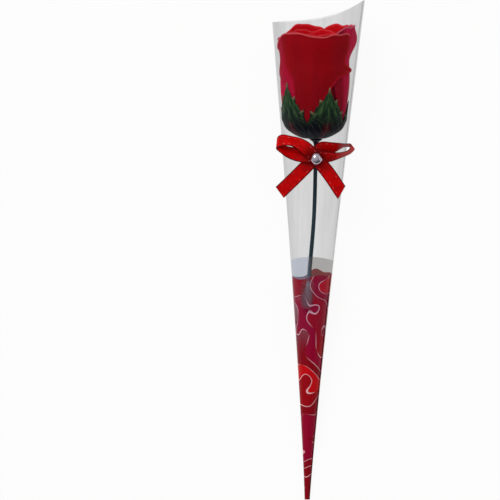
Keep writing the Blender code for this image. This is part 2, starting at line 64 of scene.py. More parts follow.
# Bands that a wave texture draws in a metre at a scale of 1
BANDS_PER_METRE = 3.2

Pair = tuple[float, float]
Triple = tuple[float, float, float]


# Curves and meshes


def smooth_step(value: Any, start: float = 0.0, reach: float = 1.0) -> Any:
    """Eases evenly from 0 at a start to 1 a reach further on."""
    share = np.clip((value - start) / reach, 0.0, 1.0)
    return share * share * (3 - 2 * share)


def chord_knots(points: np.ndarray) -> np.ndarray:
    """Gives the share of the way along a run of points at each of them."""
    steps = np.linalg.norm(np.diff(points, axis=0), axis=1)
    along = np.concatenate([[0.0], np.cumsum(steps)])
    return along / along[-1]


class SmoothCurve:
    """A smooth curve that passes through given values at given knots."""

    def __init__(self, knots: Sequence[float], values: Sequence[Any]) -> None:
        """Keeps the knots and works out the slope at each.

        Args:
            knots: Places along the curve, rising.
            values: Numbers or rows of numbers at those places.
        """
        self.knots = np.asarray(knots, float)
        self.values = np.asarray(values, float)
        self.slopes = np.gradient(self.values, self.knots, axis=0)

    def at(self, where: Any) -> np.ndarray:
        """Reads the curve.

        Args:
            where: One place or an array of places.

        Returns:
            The value at each place, held at the ends beyond them.
        """
        where = np.clip(np.asarray(where, float), self.knots[0], self.knots[-1])
        last = len(self.knots) - 2
        i = np.clip(np.searchsorted(self.knots, where, side="right") - 1, 0, last)
        step = self.knots[i + 1] - self.knots[i]
        s = (where - self.knots[i]) / step
        if self.values.ndim > 1:
            s, step = s[..., None], step[..., None]
        low, high = self.values[i], self.values[i + 1]
        ends = (1 + 2 * s) * (1 - s) ** 2 * low + s * s * (3 - 2 * s) * high
        bends = s * (1 - s) ** 2 * self.slopes[i] - s * s * (1 - s) * self.slopes[i + 1]
        return ends + step * bends


def curve_through(pairs: Sequence[Pair]) -> SmoothCurve:
    """Gives the smooth curve through pairs of a place and a value there."""
    places, values = zip(*pairs)
    return SmoothCurve(places, values)


def sheet_mesh(name: str, points: np.ndarray, metres: np.ndarray) -> bpy.types.Mesh:
    """Joins rows of points into a smooth sheet.

    Args:
        name: Name of the mesh.
        points: Rows by columns by three coordinates.
        metres: Rows by columns by two, the place of each point on the flat sheet.

    Returns:
        The mesh, with UVMap in metres and Shares from 0 to 1 both ways.
    """
    rows, columns = points.shape[:2]
    index = np.arange(rows * columns).reshape(rows, columns)
    corners = (index[:-1, :-1], index[:-1, 1:], index[1:, 1:], index[1:, :-1])
    faces = np.stack([corner.ravel() for corner in corners], axis=1)
    mesh = bpy.data.meshes.new(name)
    mesh.from_pydata(points.reshape(-1, 3).tolist(), [], faces.tolist())
    up, across = np.meshgrid(np.linspace(0, 1, rows), np.linspace(0, 1, columns), indexing="ij")
    shares = np.stack([across, up], axis=2)
    add_uv(mesh, "UVMap", metres.reshape(-1, 2))
    add_uv(mesh, "Shares", shares.reshape(-1, 2))
    mesh.shade_smooth()
    return mesh


def add_uv(mesh: bpy.types.Mesh, name: str, values: np.ndarray) -> None:
    """Adds a UV layer with one value for each vertex."""
    layer = mesh.uv_layers.new(name=name)
    corners = np.empty(len(mesh.loops), int)
    mesh.loops.foreach_get("vertex_index", corners)
    layer.data.foreach_set("uv", values[corners].ravel())


def turned_mesh(name: str, profile: Sequence[Pair], steps: int) -> bpy.types.Mesh:
    """Turns a profile about Z.

    Args:
        name: Name of the mesh.
        profile: Radius and height of each ring; a radius of 0 closes an end.
        steps: Points in a ring.

    Returns:
        The smooth mesh.
    """
    turn = np.linspace(0, 2 * math.pi, steps, endpoint=False)
    vertices: list[Triple] = []
    rings: list[list[int]] = []
    for radius, height in profile:
        start = len(vertices)
        if radius <= 0.0:
            vertices.append((0.0, 0.0, height))
            rings.append([start] * steps)
        else:
            vertices += [(radius * math.cos(a), radius * math.sin(a), height) for a in turn]
            rings.append(list(range(start, start + steps)))
    faces = []
    for low, high in zip(rings, rings[1:]):
        for i in range(steps):
            after = (i + 1) % steps
            face = (low[i], low[after], high[after], high[i])
            faces.append(tuple(dict.fromkeys(face)))
    mesh = bpy.data.meshes.new(name)
    mesh.from_pydata(vertices, [], faces)
    mesh.shade_smooth()
    return mesh


def place_piece(
    name: str,
    mesh: bpy.types.Mesh,
    material: bpy.types.Material,
    nodes: Sequence[str],
    placing: Optional[Matrix] = None,
) -> bpy.types.Object:
    """Puts a piece into the scene in place of CAD nodes.

    Args:
        name: Name of the piece.
        mesh: Its mesh.
        material: Its finish.
        nodes: The CAD nodes that it stands for.
        placing: Where its own frame lies, or None where that is the part's frame.

    Returns:
        The piece, riding on the root body.
    """
    if placing is not None:
        mesh.transform(placing)
    mesh.materials.append(material)
    piece = bpy.data.objects.new(name, mesh)
    bpy.context.scene.collection.objects.link(piece)
    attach(piece, "root")
    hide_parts(*nodes)
    LOG.info("%s: %d faces, for %s", name, len(mesh.polygons), ", ".join(nodes))
    return piece


def thicken(piece: bpy.types.Object, thickness: float) -> None:
    """Gives a sheet its thickness, half of it on either side."""
    shell = piece.modifiers.new("thickness", "SOLIDIFY")
    shell.thickness = thickness
    shell.offset = 0.0


# Materials


def linear(colour: str) -> tuple[float, float, float, float]:
    """Turns an sRGB hex value into linear colour with full alpha."""
    parts = [int(colour[i : i + 2], 16) / 255 for i in (1, 3, 5)]
    red, green, blue = (
        part / 12.92 if part <= 0.04045 else ((part + 0.055) / 1.055) ** 2.4 for part in parts
    )
    return red, green, blue, 1.0


def add_node(
    tree: bpy.types.NodeTree,
    kind: str,
    sockets: Optional[dict[Any, Any]] = None,
    output: Any = 0,
    stops: Sequence[tuple[float, Any]] = (),
    **settings: Any,
) -> bpy.types.NodeSocket:
    """Adds a node with its settings and links.

    Args:
        tree: The tree that it joins.
        kind: Blender's name for the node, without its ShaderNode start.
        sockets: For an input's name or number, the value or the output that it takes.
        output: Name or number of the output to give.
        stops: For a ramp, the position of each stop and its hex colour or grey level.
        **settings: The node's own properties.

    Returns:
        That output. Its node gives the others.
    """
    node = tree.nodes.new(f"ShaderNode{kind}")
    for name, value in settings.items():
        setattr(node, name, value)
    for name, value in (sockets or {}).items():
        if isinstance(value, bpy.types.NodeSocket):
            tree.links.new(value, node.inputs[name])
        else:
            node.inputs[name].default_value = value
    for index, (position, value) in enumerate(stops):
        elements = node.color_ramp.elements
        element = elements[index] if index < len(elements) else elements.new(position)
        element.position = position
        element.color = linear(value) if isinstance(value, str) else (value, value, value, 1.0)
    return node.outputs[output]


def new_material(name: str, **values: Any) -> tuple[bpy.types.Material, Any, bpy.types.Node]:
    """Makes a material.

    Args:
        name: Its name.
        **values: Values of the shader's sockets, with _ for a space in a socket's name.

    Returns:
        The material, a call that adds a node to it, and its Principled shader.
    """
    material = bpy.data.materials.new(name)
    material.use_nodes = True
    shader = material.node_tree.nodes["Principled BSDF"]
    for socket, value in values.items():
        shader.inputs[socket.replace("_", " ")].default_value = value
    return material, partial(add_node, material.node_tree), shader


def dress(shader: bpy.types.Node, **outputs: bpy.types.NodeSocket) -> None:
    """Links outputs to a shader's sockets, with _ for a space in a socket's name."""
    for socket, output in outputs.items():
        shader.id_data.links.new(output, shader.inputs[socket.replace("_", " ")])


class PaperTone(Enum):
    """Tones of crepe paper: shade, body, painted rim highlight, left edge and its width."""

    # Rim colours are painted highlights, and so is the deep tone's left edge
    DEEP = ("#820000", "#B40000", "#FF686E", "#CC1038", 0.17)
    BRIGHT = ("#B00000", "#DC0004", "#E8383E", "#B80010", 0.03)
    ROSE = ("#C00030", "#F01450", "#F27A92", "#940008", 0.24)


@dataclass(frozen=True)
class CrepePaper:
    """Crepe paper: matt dyed cellulose, crinkled along each petal by the creping blade.

    The crinkles catch light as fine ribs up the petal. Painted shade darkens each petal
    low down, a painted highlight runs along its rim, and each side edge has a tone of its
    own: the right edge carries a painted highlight, as does the left edge of the deep tone.
    """

    tone: PaperTone
    # A painted highlight down each petal's right edge
    right_edge_highlight: str = "#D4081C"
    sheen: str = "#FF3040"
    # Real ribs stand about 0.5 mm apart; they are drawn at 1.3 mm so that they show
    rib_spacing: float = 0.0013
    rib_height: float = 0.00007
    # Width and length of the clouds in the dye, which creping draws out
    cloud: Pair = (0.003846, 0.02632)

    def build(self) -> bpy.types.Material:
        """Makes the material."""
        material, add, shader = new_material(
            f"crepe_paper_{self.tone.name.lower()}", Roughness=0.66, IOR=1.45,
            Specular_IOR_Level=0.08, Sheen_Weight=0.02, Sheen_Roughness=0.4,
            Sheen_Tint=linear(self.sheen),
        )
        dark, body, rim, near_edge = (linear(tone) for tone in self.tone.value[:4])
        reach = self.tone.value[4]
        metres = add("UVMap", uv_map="UVMap")
        place = add("SeparateXYZ", {0: add("UVMap", uv_map="Shares")}).node.outputs
        up = place["Y"]
        ribs = add("TexWave", {
            "Vector": metres, "Scale": 1 / (self.rib_spacing * BANDS_PER_METRE),
            "Distortion": 2.2, "Detail": 2.0, "Detail Scale": 0.6,
        }, "Fac", wave_type="BANDS", bands_direction="X")
        drawn_up = add("Mapping", {
            "Vector": metres, "Scale": (1 / self.cloud[0], 1 / self.cloud[1], 1.0),
        })
        mottle = add("TexNoise", {
            "Vector": drawn_up, "Scale": 1.0, "Detail": 4.0, "Roughness": 0.6,
        })
        # Painted shade: darker low in each petal and lighter towards the rim, with the dye's clouds
        depth = add("MapRange", {"Value": up, "From Max": 0.85, "To Min": -0.22, "To Max": 0.56})
        dye_clouds_and_painted_shade = add("Math", {0: mottle, 1: 0.6, 2: depth}, operation="MULTIPLY_ADD", use_clamp=True)
        dyed = add("Mix", {0: dye_clouds_and_painted_shade, 6: dark, 7: body}, 2, data_type="RGBA")
        # Left edge: a painted highlight of a lit fold on the deep tone, darker on the rose tone
        near = add("MapRange", {
            "Value": place["X"], "From Min": 0.6 * reach, "From Max": 1.1 * reach,
            "To Min": 0.85, "To Max": 0.0,
        }, interpolation_type="SMOOTHSTEP")
        edged = add("Mix", {0: near, 6: dyed, 7: near_edge}, 2, data_type="RGBA")
        # Painted highlight: a brighter red down the right edge
        far = add("MapRange", {
            "Value": place["X"], "From Min": 0.93, "From Max": 0.985, "To Max": 0.8,
        }, interpolation_type="SMOOTHSTEP")
        shade = add("Mix", {0: far, 6: edged, 7: linear(self.right_edge_highlight)}, 2, data_type="RGBA")
        # Painted highlight: a paler band along the rim's rolled lip
        lip = add("MapRange", {
            "Value": up, "From Min": 0.974, "From Max": 0.994, "To Max": 0.85,
        }, interpolation_type="SMOOTHSTEP")
        colour = add("Mix", {0: lip, 6: shade, 7: rim}, 2, data_type="RGBA")
        relief = add("Math", {0: mottle, 1: 2.2, 2: ribs}, operation="MULTIPLY_ADD")
        bump = add("Bump", {"Height": relief, "Strength": 0.45, "Distance": self.rib_height})
        dress(shader, Base_Color=colour, Normal=bump)
        return material


@dataclass(frozen=True)
class MouldedLeaf:
    """Polyethylene sepals: moulded with veins, then airbrushed brown at their points.

    The green is almost black in the bowl and turns olive towards the points.
    """

    dark: str = "#030A04"
    green: str = "#1A5222"
    olive: str = "#5E7C44"
    vein: str = "#7E9C6A"
    point: str = "#A88C6A"
    red: str = "#6E0A12"
    # Side veins on such a sepal stand about 2.5 mm apart; their slant is in radians
    vein_spacing: float = 0.0025
    vein_slant: float = 0.6
    # Width and length of the clouds that the airbrush leaves
    cloud: Pair = (0.00303, 0.01111)
    # How brown a sepal's side edge is on the way up: most at the points of its big teeth
    points: tuple[Pair, ...] = (
        (0.38, 0.0), (0.41, 0.8), (0.43, 0.0), (0.63, 0.0), (0.67, 0.8), (0.69, 0.0), (1.0, 0.0),
    )
    # How red the middle is on the way up the bowl
    reds: tuple[Pair, ...] = ((0.06, 0.0), (0.11, 0.55), (0.18, 0.55), (0.24, 0.0))

    def build(self) -> bpy.types.Material:
        """Makes the material."""
        material, add, shader = new_material(
            "moulded_leaf_polyethylene", Roughness=0.55, IOR=1.5, Specular_IOR_Level=0.12,
        )
        metres = add("UVMap", uv_map="UVMap")
        place = add("SeparateXYZ", {0: add("UVMap", uv_map="Shares")}).node.outputs
        side = add("Math", {0: place["X"], 1: 0.5}, operation="SUBTRACT")
        across = add("Math", {0: side}, operation="ABSOLUTE")
        edge = add("MapRange", {
            "Value": across, "From Min": 0.37, "From Max": 0.47,
        }, interpolation_type="SMOOTHSTEP")
        upper = add("MapRange", {"Value": place["Y"], "From Min": 0.18, "From Max": 0.62})
        drawn_up = add("Mapping", {
            "Vector": metres, "Scale": (1 / self.cloud[0], 1 / self.cloud[1], 1.0),
        })
        mottle = add("TexNoise", {
            "Vector": drawn_up, "Scale": 1.0, "Detail": 3.0, "Roughness": 0.6,
        })
        light = add("MapRange", {"Value": mottle, "From Min": 0.32, "From Max": 0.6})
        green_at = add("Math", {0: upper, 1: light}, operation="MULTIPLY")
        body = add("Mix", {0: green_at, 6: linear(self.dark), 7: linear(self.green)}, 2,
                   data_type="RGBA")
        lit = add("MapRange", {"Value": mottle, "From Min": 0.47, "From Max": 0.66, "To Max": 0.75})
        olive_at = add("Math", {0: upper, 1: lit}, operation="MULTIPLY")
        worn = add("Mix", {0: olive_at, 6: body, 7: linear(self.olive)}, 2, data_type="RGBA")
        slanted = add("Mapping", {"Vector": metres, "Rotation": (0.0, 0.0, self.vein_slant)})
        waves = add("TexWave", {
            "Vector": slanted, "Scale": 1 / (self.vein_spacing * BANDS_PER_METRE),
            "Distortion": 1.2, "Detail": 1.5,
        }, "Fac", wave_type="BANDS", bands_direction="Y")
        middle = add("MapRange", {
            "Value": across, "From Max": 0.035, "To Min": 1.0, "To Max": 0.0,
        }, interpolation_type="SMOOTHSTEP")
        vein = add("MapRange", {"Value": waves, "From Min": 0.88, "From Max": 1.0, "To Max": 0.6})
        veins = add("Math", {0: vein, 1: middle}, operation="MAXIMUM")
        vein_at = add("Math", {0: veins, 1: 0.16}, operation="MULTIPLY")
        veined = add("Mix", {0: vein_at, 6: worn, 7: linear(self.vein)}, 2, data_type="RGBA")
        brown = add("ValToRGB", {"Fac": place["Y"]}, stops=self.points)
        brown_edge = add("Math", {0: brown, 1: edge}, operation="MULTIPLY")
        tip = add("MapRange", {
            "Value": place["Y"], "From Min": 0.86, "From Max": 0.97, "To Max": 0.8,
        })
        brown_at = add("Math", {0: brown_edge, 1: tip}, operation="MAXIMUM")
        tipped = add("Mix", {0: brown_at, 6: veined, 7: linear(self.point)}, 2, data_type="RGBA")
        low = add("ValToRGB", {"Fac": place["Y"]}, stops=self.reds)
        inmost = add("MapRange", {
            "Value": across, "From Min": 0.02, "From Max": 0.15, "To Min": 1.0, "To Max": 0.0,
        })
        red_at = add("Math", {0: low, 1: inmost}, operation="MULTIPLY")
        colour = add("Mix", {0: red_at, 6: tipped, 7: linear(self.red)}, 2, data_type="RGBA")
        bump = add("Bump", {"Height": veins, "Strength": 0.7, "Distance": 0.0003})
        dress(shader, Base_Color=colour, Normal=bump)
        return material


@dataclass(frozen=True)
class StemPlastic:
    """Polyethylene over wire: extruded, so it is drawn out in faint lines along its length.

    Its flared foot is a plug of a paler plastic, made lighter still by painted light against
    the shade that the print casts on it, and its funnel is almost black.
    """

    colour: str = "#223C44"
    worn: str = "#34484C"
    # Paler plastic made lighter still by painted light against the print's shade
    foot: str = "#84C8D8"
    foot_from: float = -0.019
    foot_fade: float = 0.008
    funnel: str = "#04080A"
    funnel_from: float = 0.0705
    funnel_fade: float = 0.0015
    # Real draw lines are finer; they are 0.4 mm wide here so that they show
    draw_line: Pair = (0.0003846, 0.01667)

    def build(self) -> bpy.types.Material:
        """Makes the material."""
        material, add, shader = new_material(
            "extruded_stem_polyethylene", Roughness=0.42, Specular_IOR_Level=0.2,
        )
        place = add("TexCoord", output="Object")
        width, length = self.draw_line
        drawn = add("Mapping", {"Vector": place, "Scale": (1 / width, 1 / length, 1 / width)})
        lines = add("TexNoise", {"Vector": drawn, "Scale": 1.0, "Detail": 3.0})
        worn = add("MapRange", {"Value": lines, "From Min": 0.45, "From Max": 0.8, "To Max": 0.7})
        shaft = add("Mix", {0: worn, 6: linear(self.colour), 7: linear(self.worn)}, 2,
                    data_type="RGBA")
        along = add("SeparateXYZ", {0: place}, "Y")
        # Painted light and a paler plastic: the foot's colour fades in below foot_from
        paler = add("MapRange", {
            "Value": along, "From Min": self.foot_from - self.foot_fade,
            "From Max": self.foot_from, "To Min": 1.0, "To Max": 0.0,
        }, interpolation_type="SMOOTHSTEP")
        footed = add("Mix", {0: paler, 6: shaft, 7: linear(self.foot)}, 2, data_type="RGBA")
        blacker = add("MapRange", {
            "Value": along, "From Min": self.funnel_from,
            "From Max": self.funnel_from + self.funnel_fade,
        })
        colour = add("Mix", {0: blacker, 6: footed, 7: linear(self.funnel)}, 2, data_type="RGBA")
        bump = add("Bump", {"Height": lines, "Strength": 0.5, "Distance": 0.0001})
        dress(shader, Base_Color=colour, Normal=bump)
        return material


@dataclass(frozen=True)
class PrintedFilm:
    """Oriented polypropylene film: cast clear and gravure printed from its tip upwards.

    It dims what is behind it a little, and looks denser edge-on and along its lapped edge.
    The print is a thin wash, cool on the left and warm on the right, then fields of red
    ink with fine pale outlines. They are solid at the tip and thinner and mauve above,
    and leave a window in front of the stem's foot.
    """

    clear: str = "#1A1030"
    wash: str = "#5C4E44"
    wash_left: str = "#93A0BC"
    line: str = "#F2B8BC"
    lilac: str = "#B894B4"
    mauve: str = "#7C2048"
    inks: tuple[tuple[float, str], ...] = (
        (0.0, "#8C0014"), (0.24, "#B4000C"), (0.46, "#98002C"), (0.62, "#CC0410"),
        (0.82, "#A00010"),
    )
    # Shares of the way from the tip to the sleeve's middle, and how solid the ink is there
    solidity: tuple[Pair, ...] = ((0.56, 1.0), (0.66, 0.84), (0.80, 0.66), (1.0, 0.66))
    mauves: tuple[Pair, ...] = ((0.58, 0.0), (0.70, 0.55), (1.0, 0.65))
    # Times as much ink in the thicker half of the fields
    thick_ink: float = 1.45
    clear_alpha: float = 0.165
    edge_alpha: float = 0.34
    wash_alpha: float = 0.40
    tip: float = -0.186
    # Outlines of such a print cross the sleeve about every 18 mm and swirl every 23 mm
    field_spacing: float = 0.018
    swirl: float = 0.02273
    # Length after which an outline fades or comes back
    fading: float = 0.01429
    # Fields that the pattern gains in a metre across, and that a swirl pushes it by
    field_slant: float = 22.0
    field_swell: float = 6.2
    field_offset: float = 0.35
    # Added to each field's number, which picks its ink
    first_field: float = 5.0
    wash_from: float = -0.0055
    ink_from: float = -0.0185
    # The upper edges drop by this times the square of the distance from the middle
    edge_bow: float = 9.0
    ink_drift: float = 0.022
    # Where the wash turns from cool to warm
    warm_from: Pair = (-0.004, 0.0)
    # Middle and half-size of the window that the print leaves in front of the stem's foot
    window_at: Triple = (-0.0030, -0.0325, 0.0252)
    window_half: Triple = (0.0062, 0.0165, 0.0200)
    window_ink: float = 0.40
    # Width and length of the film's streaks and of its ripples, along the draw
    streak: Pair = (0.00588, 0.2)
    ripple: Pair = (0.00769, 0.0714)

    def build(self) -> bpy.types.Material:
        """Makes the material."""
        material, add, shader = new_material(
            "printed_polypropylene_film", Roughness=0.12, IOR=1.49, Specular_IOR_Level=0.08,
        )
        place = add("TexCoord", output="Object")
        x, y, _ = add("SeparateXYZ", {0: place}).node.outputs
        swell = add("TexNoise", {
            "Vector": place, "Scale": 1 / self.swirl, "Detail": 0.6, "Roughness": 0.4,
        })
        up = add("Math", {
            0: y, 1: 1 / self.field_spacing, 2: self.field_offset,
        }, operation="MULTIPLY_ADD")
        slanted = add("Math", {0: x, 1: self.field_slant, 2: up}, operation="MULTIPLY_ADD")
        fields = add("Math", {0: swell, 1: self.field_swell, 2: slanted}, operation="MULTIPLY_ADD")
        numbered = add("Math", {0: fields, 1: self.first_field}, operation="ADD")
        number = add("Math", {0: numbered}, operation="FLOOR")
        pick = add("TexWhiteNoise", {"W": number}, noise_dimensions="1D")
        ink = add("ValToRGB", {"Fac": pick}, stops=self.inks)
        ink.node.color_ramp.interpolation = "CONSTANT"
        share = add("MapRange", {"Value": y, "From Min": self.tip, "From Max": 0.0})
        mauve_at = add("ValToRGB", {"Fac": share}, stops=self.mauves)
        thin = add("Math", {0: pick, 1: 0.5}, operation="LESS_THAN")
        mauver = add("Math", {0: thin, 1: 0.5, 2: 0.5}, operation="MULTIPLY_ADD")
        softened = add("Math", {0: mauve_at, 1: mauver}, operation="MULTIPLY")
        inked = add("Mix", {0: softened, 6: ink, 7: linear(self.mauve)}, 2, data_type="RGBA")
        to_line = add("Math", {0: fields, 1: 0.5}, operation="PINGPONG")
        outline = add("MapRange", {
            "Value": to_line, "From Min": 0.018, "From Max": 0.05, "To Min": 1.0, "To Max": 0.0,
        }, interpolation_type="SMOOTHSTEP")
        fading = add("TexNoise", {"Vector": place, "Scale": 1 / self.fading, "Detail": 1.0})
        strength = add("MapRange", {"Value": fading, "From Min": 0.34, "From Max": 0.52})
        outlined = add("Math", {0: outline, 1: strength}, operation="MULTIPLY")
        pale = add("Mix", {0: mauve_at, 6: linear(self.line), 7: linear(self.lilac)}, 2,
                   data_type="RGBA")
        drawn = add("Mix", {0: outlined, 6: inked, 7: pale}, 2, data_type="RGBA")
        bowed = add("Math", {0: x, 1: x}, operation="MULTIPLY")
        level = add("Math", {0: bowed, 1: self.edge_bow, 2: y}, operation="MULTIPLY_ADD")
        washed = add("Math", {0: level, 1: self.wash_from}, operation="LESS_THAN")
        drift = add("Math", {0: swell, 1: -self.ink_drift, 2: level}, operation="MULTIPLY_ADD")
        ink_top = self.ink_from - self.ink_drift / 2
        on_ink = add("Math", {0: drift, 1: ink_top}, operation="LESS_THAN")
        cool, warm = self.warm_from
        aside = add("MapRange", {"Value": x, "From Min": cool, "From Max": warm})
        wash = add("Mix", {0: aside, 6: linear(self.wash_left), 7: linear(self.wash)}, 2,
                   data_type="RGBA")
        base = add("Mix", {0: washed, 6: linear(self.clear), 7: wash}, 2, data_type="RGBA")
        colour = add("Mix", {0: on_ink, 6: base, 7: drawn}, 2, data_type="RGBA")
        solid = add("ValToRGB", {"Fac": share}, stops=self.solidity)
        heavier = add("Math", {
            0: thin, 1: 1 - self.thick_ink, 2: self.thick_ink,
        }, operation="MULTIPLY_ADD")
        denser = add("Math", {0: solid, 1: heavier}, operation="MULTIPLY", use_clamp=True)
        framed = add("Mapping", {
            "Vector": place, "Scale": tuple(1 / half for half in self.window_half),
            "Location": tuple(-at / half for at, half in zip(self.window_at, self.window_half)),
        })
        outside = add("VectorMath", {0: framed}, "Value", operation="LENGTH")
        window = add("MapRange", {
            "Value": outside, "From Min": 0.5, "From Max": 1.1, "To Min": self.window_ink,
        }, interpolation_type="SMOOTHSTEP")
        windowed = add("Math", {0: denser, 1: window}, operation="MULTIPLY")
        lined = add("Math", {0: windowed, 1: outlined}, operation="MAXIMUM")
        inked_alpha = add("Math", {0: on_ink, 1: lined}, operation="MULTIPLY")
        wash_alpha = add("Math", {0: washed, 1: self.wash_alpha}, operation="MULTIPLY")
        print_alpha = add("Math", {0: inked_alpha, 1: wash_alpha}, operation="MAXIMUM")
        facing = add("LayerWeight", {"Blend": 0.3}, "Facing")
        film = add("MapRange", {
            "Value": facing, "From Min": 0.1, "To Min": self.clear_alpha, "To Max": self.edge_alpha,
        })
        width, length = self.streak
        streaked = add("Mapping", {"Vector": place, "Scale": (1 / width, 1 / length, 1 / width)})
        streaks = add("TexNoise", {"Vector": streaked, "Scale": 1.0, "Detail": 2.0})
        streak = add("MapRange", {
            "Value": streaks, "From Min": 0.35, "From Max": 0.7, "To Min": -0.02, "To Max": 0.04,
        })
        rolled = add("SeparateXYZ", {0: add("UVMap", uv_map="Shares")})
        from_edge = add("Math", {0: rolled, 1: 0.5}, operation="PINGPONG")
        lap = add("MapRange", {
            "Value": from_edge, "From Min": 0.002, "From Max": 0.006, "To Min": 0.28, "To Max": 0.0,
        })
        streaky = add("Math", {0: film, 1: streak}, operation="ADD")
        clear_alpha = add("Math", {0: streaky, 1: lap}, operation="ADD")
        alpha = add("Math", {0: print_alpha, 1: clear_alpha}, operation="MAXIMUM", use_clamp=True)
        width, length = self.ripple
        rippled = add("Mapping", {"Vector": place, "Scale": (1 / width, 1 / length, 1 / width)})
        waves = add("TexNoise", {"Vector": rippled, "Scale": 1.0, "Detail": 2.0})
        bump = add("Bump", {"Height": waves, "Strength": 0.35, "Distance": 0.0012})
        dress(shader, Base_Color=colour, Alpha=alpha, Normal=bump)
        return material


@dataclass(frozen=True)
class SatinRibbon:
    """Polyester satin: woven with a ribbed ground, dark selvedges and a fine running stitch."""

    width: float
    knot: Triple
    red: str = "#D40002"
    shade: str = "#A00002"
    shadow: str = "#5E0002"
    selvedge: str = "#560004"
    thread: str = "#D88A88"
    sheen: str = "#FF4A4A"
    # Ribs of such a ribbon stand about 0.35 mm apart; drawn at 0.7 mm so that they show
    rib_spacing: float = 0.0007
    selvedge_width: float = 0.0010
    stitch_length: float = 0.0042
    stitch_inset: float = 0.0019
    # Share of a stitch's length that shows its thread
    stitch_share: float = 0.42
    thread_radius: float = 0.00017
    # Distances from the knot between which its shadow fades
    knot_shadow_reach: Pair = (0.005, 0.015)
    # Size of the clouds in the weave's tone, and of the worn places in the thread
    cloud: float = 0.004545
    wear: float = 0.00667

    def build(self) -> bpy.types.Material:
        """Makes the material."""
        material, add, shader = new_material(
            "woven_polyester_satin", Roughness=0.45, Specular_IOR_Level=0.07,
            Sheen_Weight=0.01, Sheen_Roughness=0.3, Sheen_Tint=linear(self.sheen),
        )
        metres = add("UVMap", uv_map="UVMap")
        place = add("SeparateXYZ", {0: metres}).node.outputs
        off_centre = add("Math", {0: place["X"]}, operation="ABSOLUTE")
        half = self.width / 2
        edge = add("MapRange", {
            "Value": off_centre, "From Min": half - self.selvedge_width,
            "From Max": half - 0.3 * self.selvedge_width,
        }, interpolation_type="SMOOTHSTEP")
        on_row = add("Math", {
            0: off_centre, 1: half - self.stitch_inset, 2: self.thread_radius,
        }, operation="COMPARE")
        stitches = add("Math", {0: place["Y"], 1: 1 / self.stitch_length}, operation="MULTIPLY")
        cycle = add("Math", {0: stitches}, operation="FRACT")
        raised = add("Math", {0: cycle, 1: self.stitch_share}, operation="LESS_THAN")
        stitched = add("Math", {0: on_row, 1: raised}, operation="MULTIPLY")
        ribs = add("TexWave", {
            "Vector": metres, "Scale": 1 / (self.rib_spacing * BANDS_PER_METRE),
            "Distortion": 0.4, "Detail": 1.0,
        }, "Fac", wave_type="BANDS", bands_direction="Y")
        tone = add("TexNoise", {"Vector": metres, "Scale": 1 / self.cloud, "Detail": 2.0})
        tone_at = add("MapRange", {"Value": tone, "From Min": 0.2, "From Max": 0.55})
        ground = add("Mix", {0: tone_at, 6: linear(self.shade), 7: linear(self.red)}, 2,
                     data_type="RGBA")
        rib_at = add("Math", {0: ribs, 1: 0.25}, operation="MULTIPLY")
        ribbed = add("Mix", {0: rib_at, 6: ground, 7: linear(self.shade)}, 2, data_type="RGBA")
        to_knot = add("VectorMath", {
            0: add("TexCoord", output="Object"), 1: self.knot,
        }, "Value", operation="DISTANCE")
        near, far = self.knot_shadow_reach
        # Painted shadow: the ribbon darkens towards the knot
        painted_knot_shadow = add("MapRange", {
            "Value": to_knot, "From Min": near, "From Max": far, "To Min": 0.85, "To Max": 0.0,
        })
        darker = add("Mix", {0: painted_knot_shadow, 6: ribbed, 7: linear(self.shadow)}, 2, data_type="RGBA")
        edged = add("Mix", {0: edge, 6: darker, 7: linear(self.selvedge)}, 2, data_type="RGBA")
        worn = add("TexNoise", {"Vector": metres, "Scale": 1 / self.wear, "Detail": 1.0})
        thread_at = add("MapRange", {
            "Value": worn, "From Min": 0.46, "From Max": 0.62, "To Max": 0.5,
        })
        thread_on = add("Math", {0: stitched, 1: thread_at}, operation="MULTIPLY")
        colour = add("Mix", {0: thread_on, 6: edged, 7: linear(self.thread)}, 2, data_type="RGBA")
        relief = add("Math", {0: stitched, 1: 1.2, 2: ribs}, operation="MULTIPLY_ADD")
        bump = add("Bump", {"Height": relief, "Strength": 0.5, "Distance": 0.0001})
        dress(shader, Base_Color=colour, Normal=bump)
        return material


@dataclass(frozen=True)
class PlatedBead:
    """Acrylic plated with silver: polished, with a slight orange peel from the mould."""

    silver: str = "#CFC8D4"
    dull: str = "#A8A0AE"
    # Orange peel on such a bead is about 1.1 mm across
    peel: float = 0.00111

    def build(self) -> bpy.types.Material:
        """Makes the material."""
        material, add, shader = new_material("plated_acrylic_silver", Metallic=1.0, Roughness=0.06)
        place = add("TexCoord", output="Object")
        peel = add("TexNoise", {"Vector": place, "Scale": 1 / self.peel})
        colour = add("Mix", {0: peel, 6: linear(self.silver), 7: linear(self.dull)}, 2,
                     data_type="RGBA")
        bump = add("Bump", {"Height": peel, "Strength": 0.15, "Distance": 0.0001})
        dress(shader, Base_Color=colour, Normal=bump)
        return material


@dataclass(frozen=True)
class PaperSweep:
    """A white paper sweep: matt, and seen as white by the camera, glass and metal."""

    colour: str = "#F4F3F2"
    glow: float = 0.93

    def build(self) -> bpy.types.Material:
        """Makes the material."""
        material, add, shader = new_material("white_paper_sweep", Roughness=0.9)
        shader.inputs["Base Color"].default_value = linear(self.colour)
        path = add("LightPath").node.outputs
        shiny = add("Math", {0: path["Is Glossy Ray"], 1: path["Is Transmission Ray"]},
                    operation="MAXIMUM")
        seen = add("Math", {0: path["Is Camera Ray"], 1: shiny}, operation="MAXIMUM")
        factor = add("Math", {0: seen, 1: self.glow}, operation="MULTIPLY")
        white = add("Emission", {"Color": (1.0, 1.0, 1.0, 1.0), "Strength": 1.0})
        mixed = add("MixShader", {0: factor, 1: shader.outputs[0], 2: white})
        surface = material.node_tree.nodes["Material Output"].inputs["Surface"]
        material.node_tree.links.new(mixed, surface)
        return material


# Rose


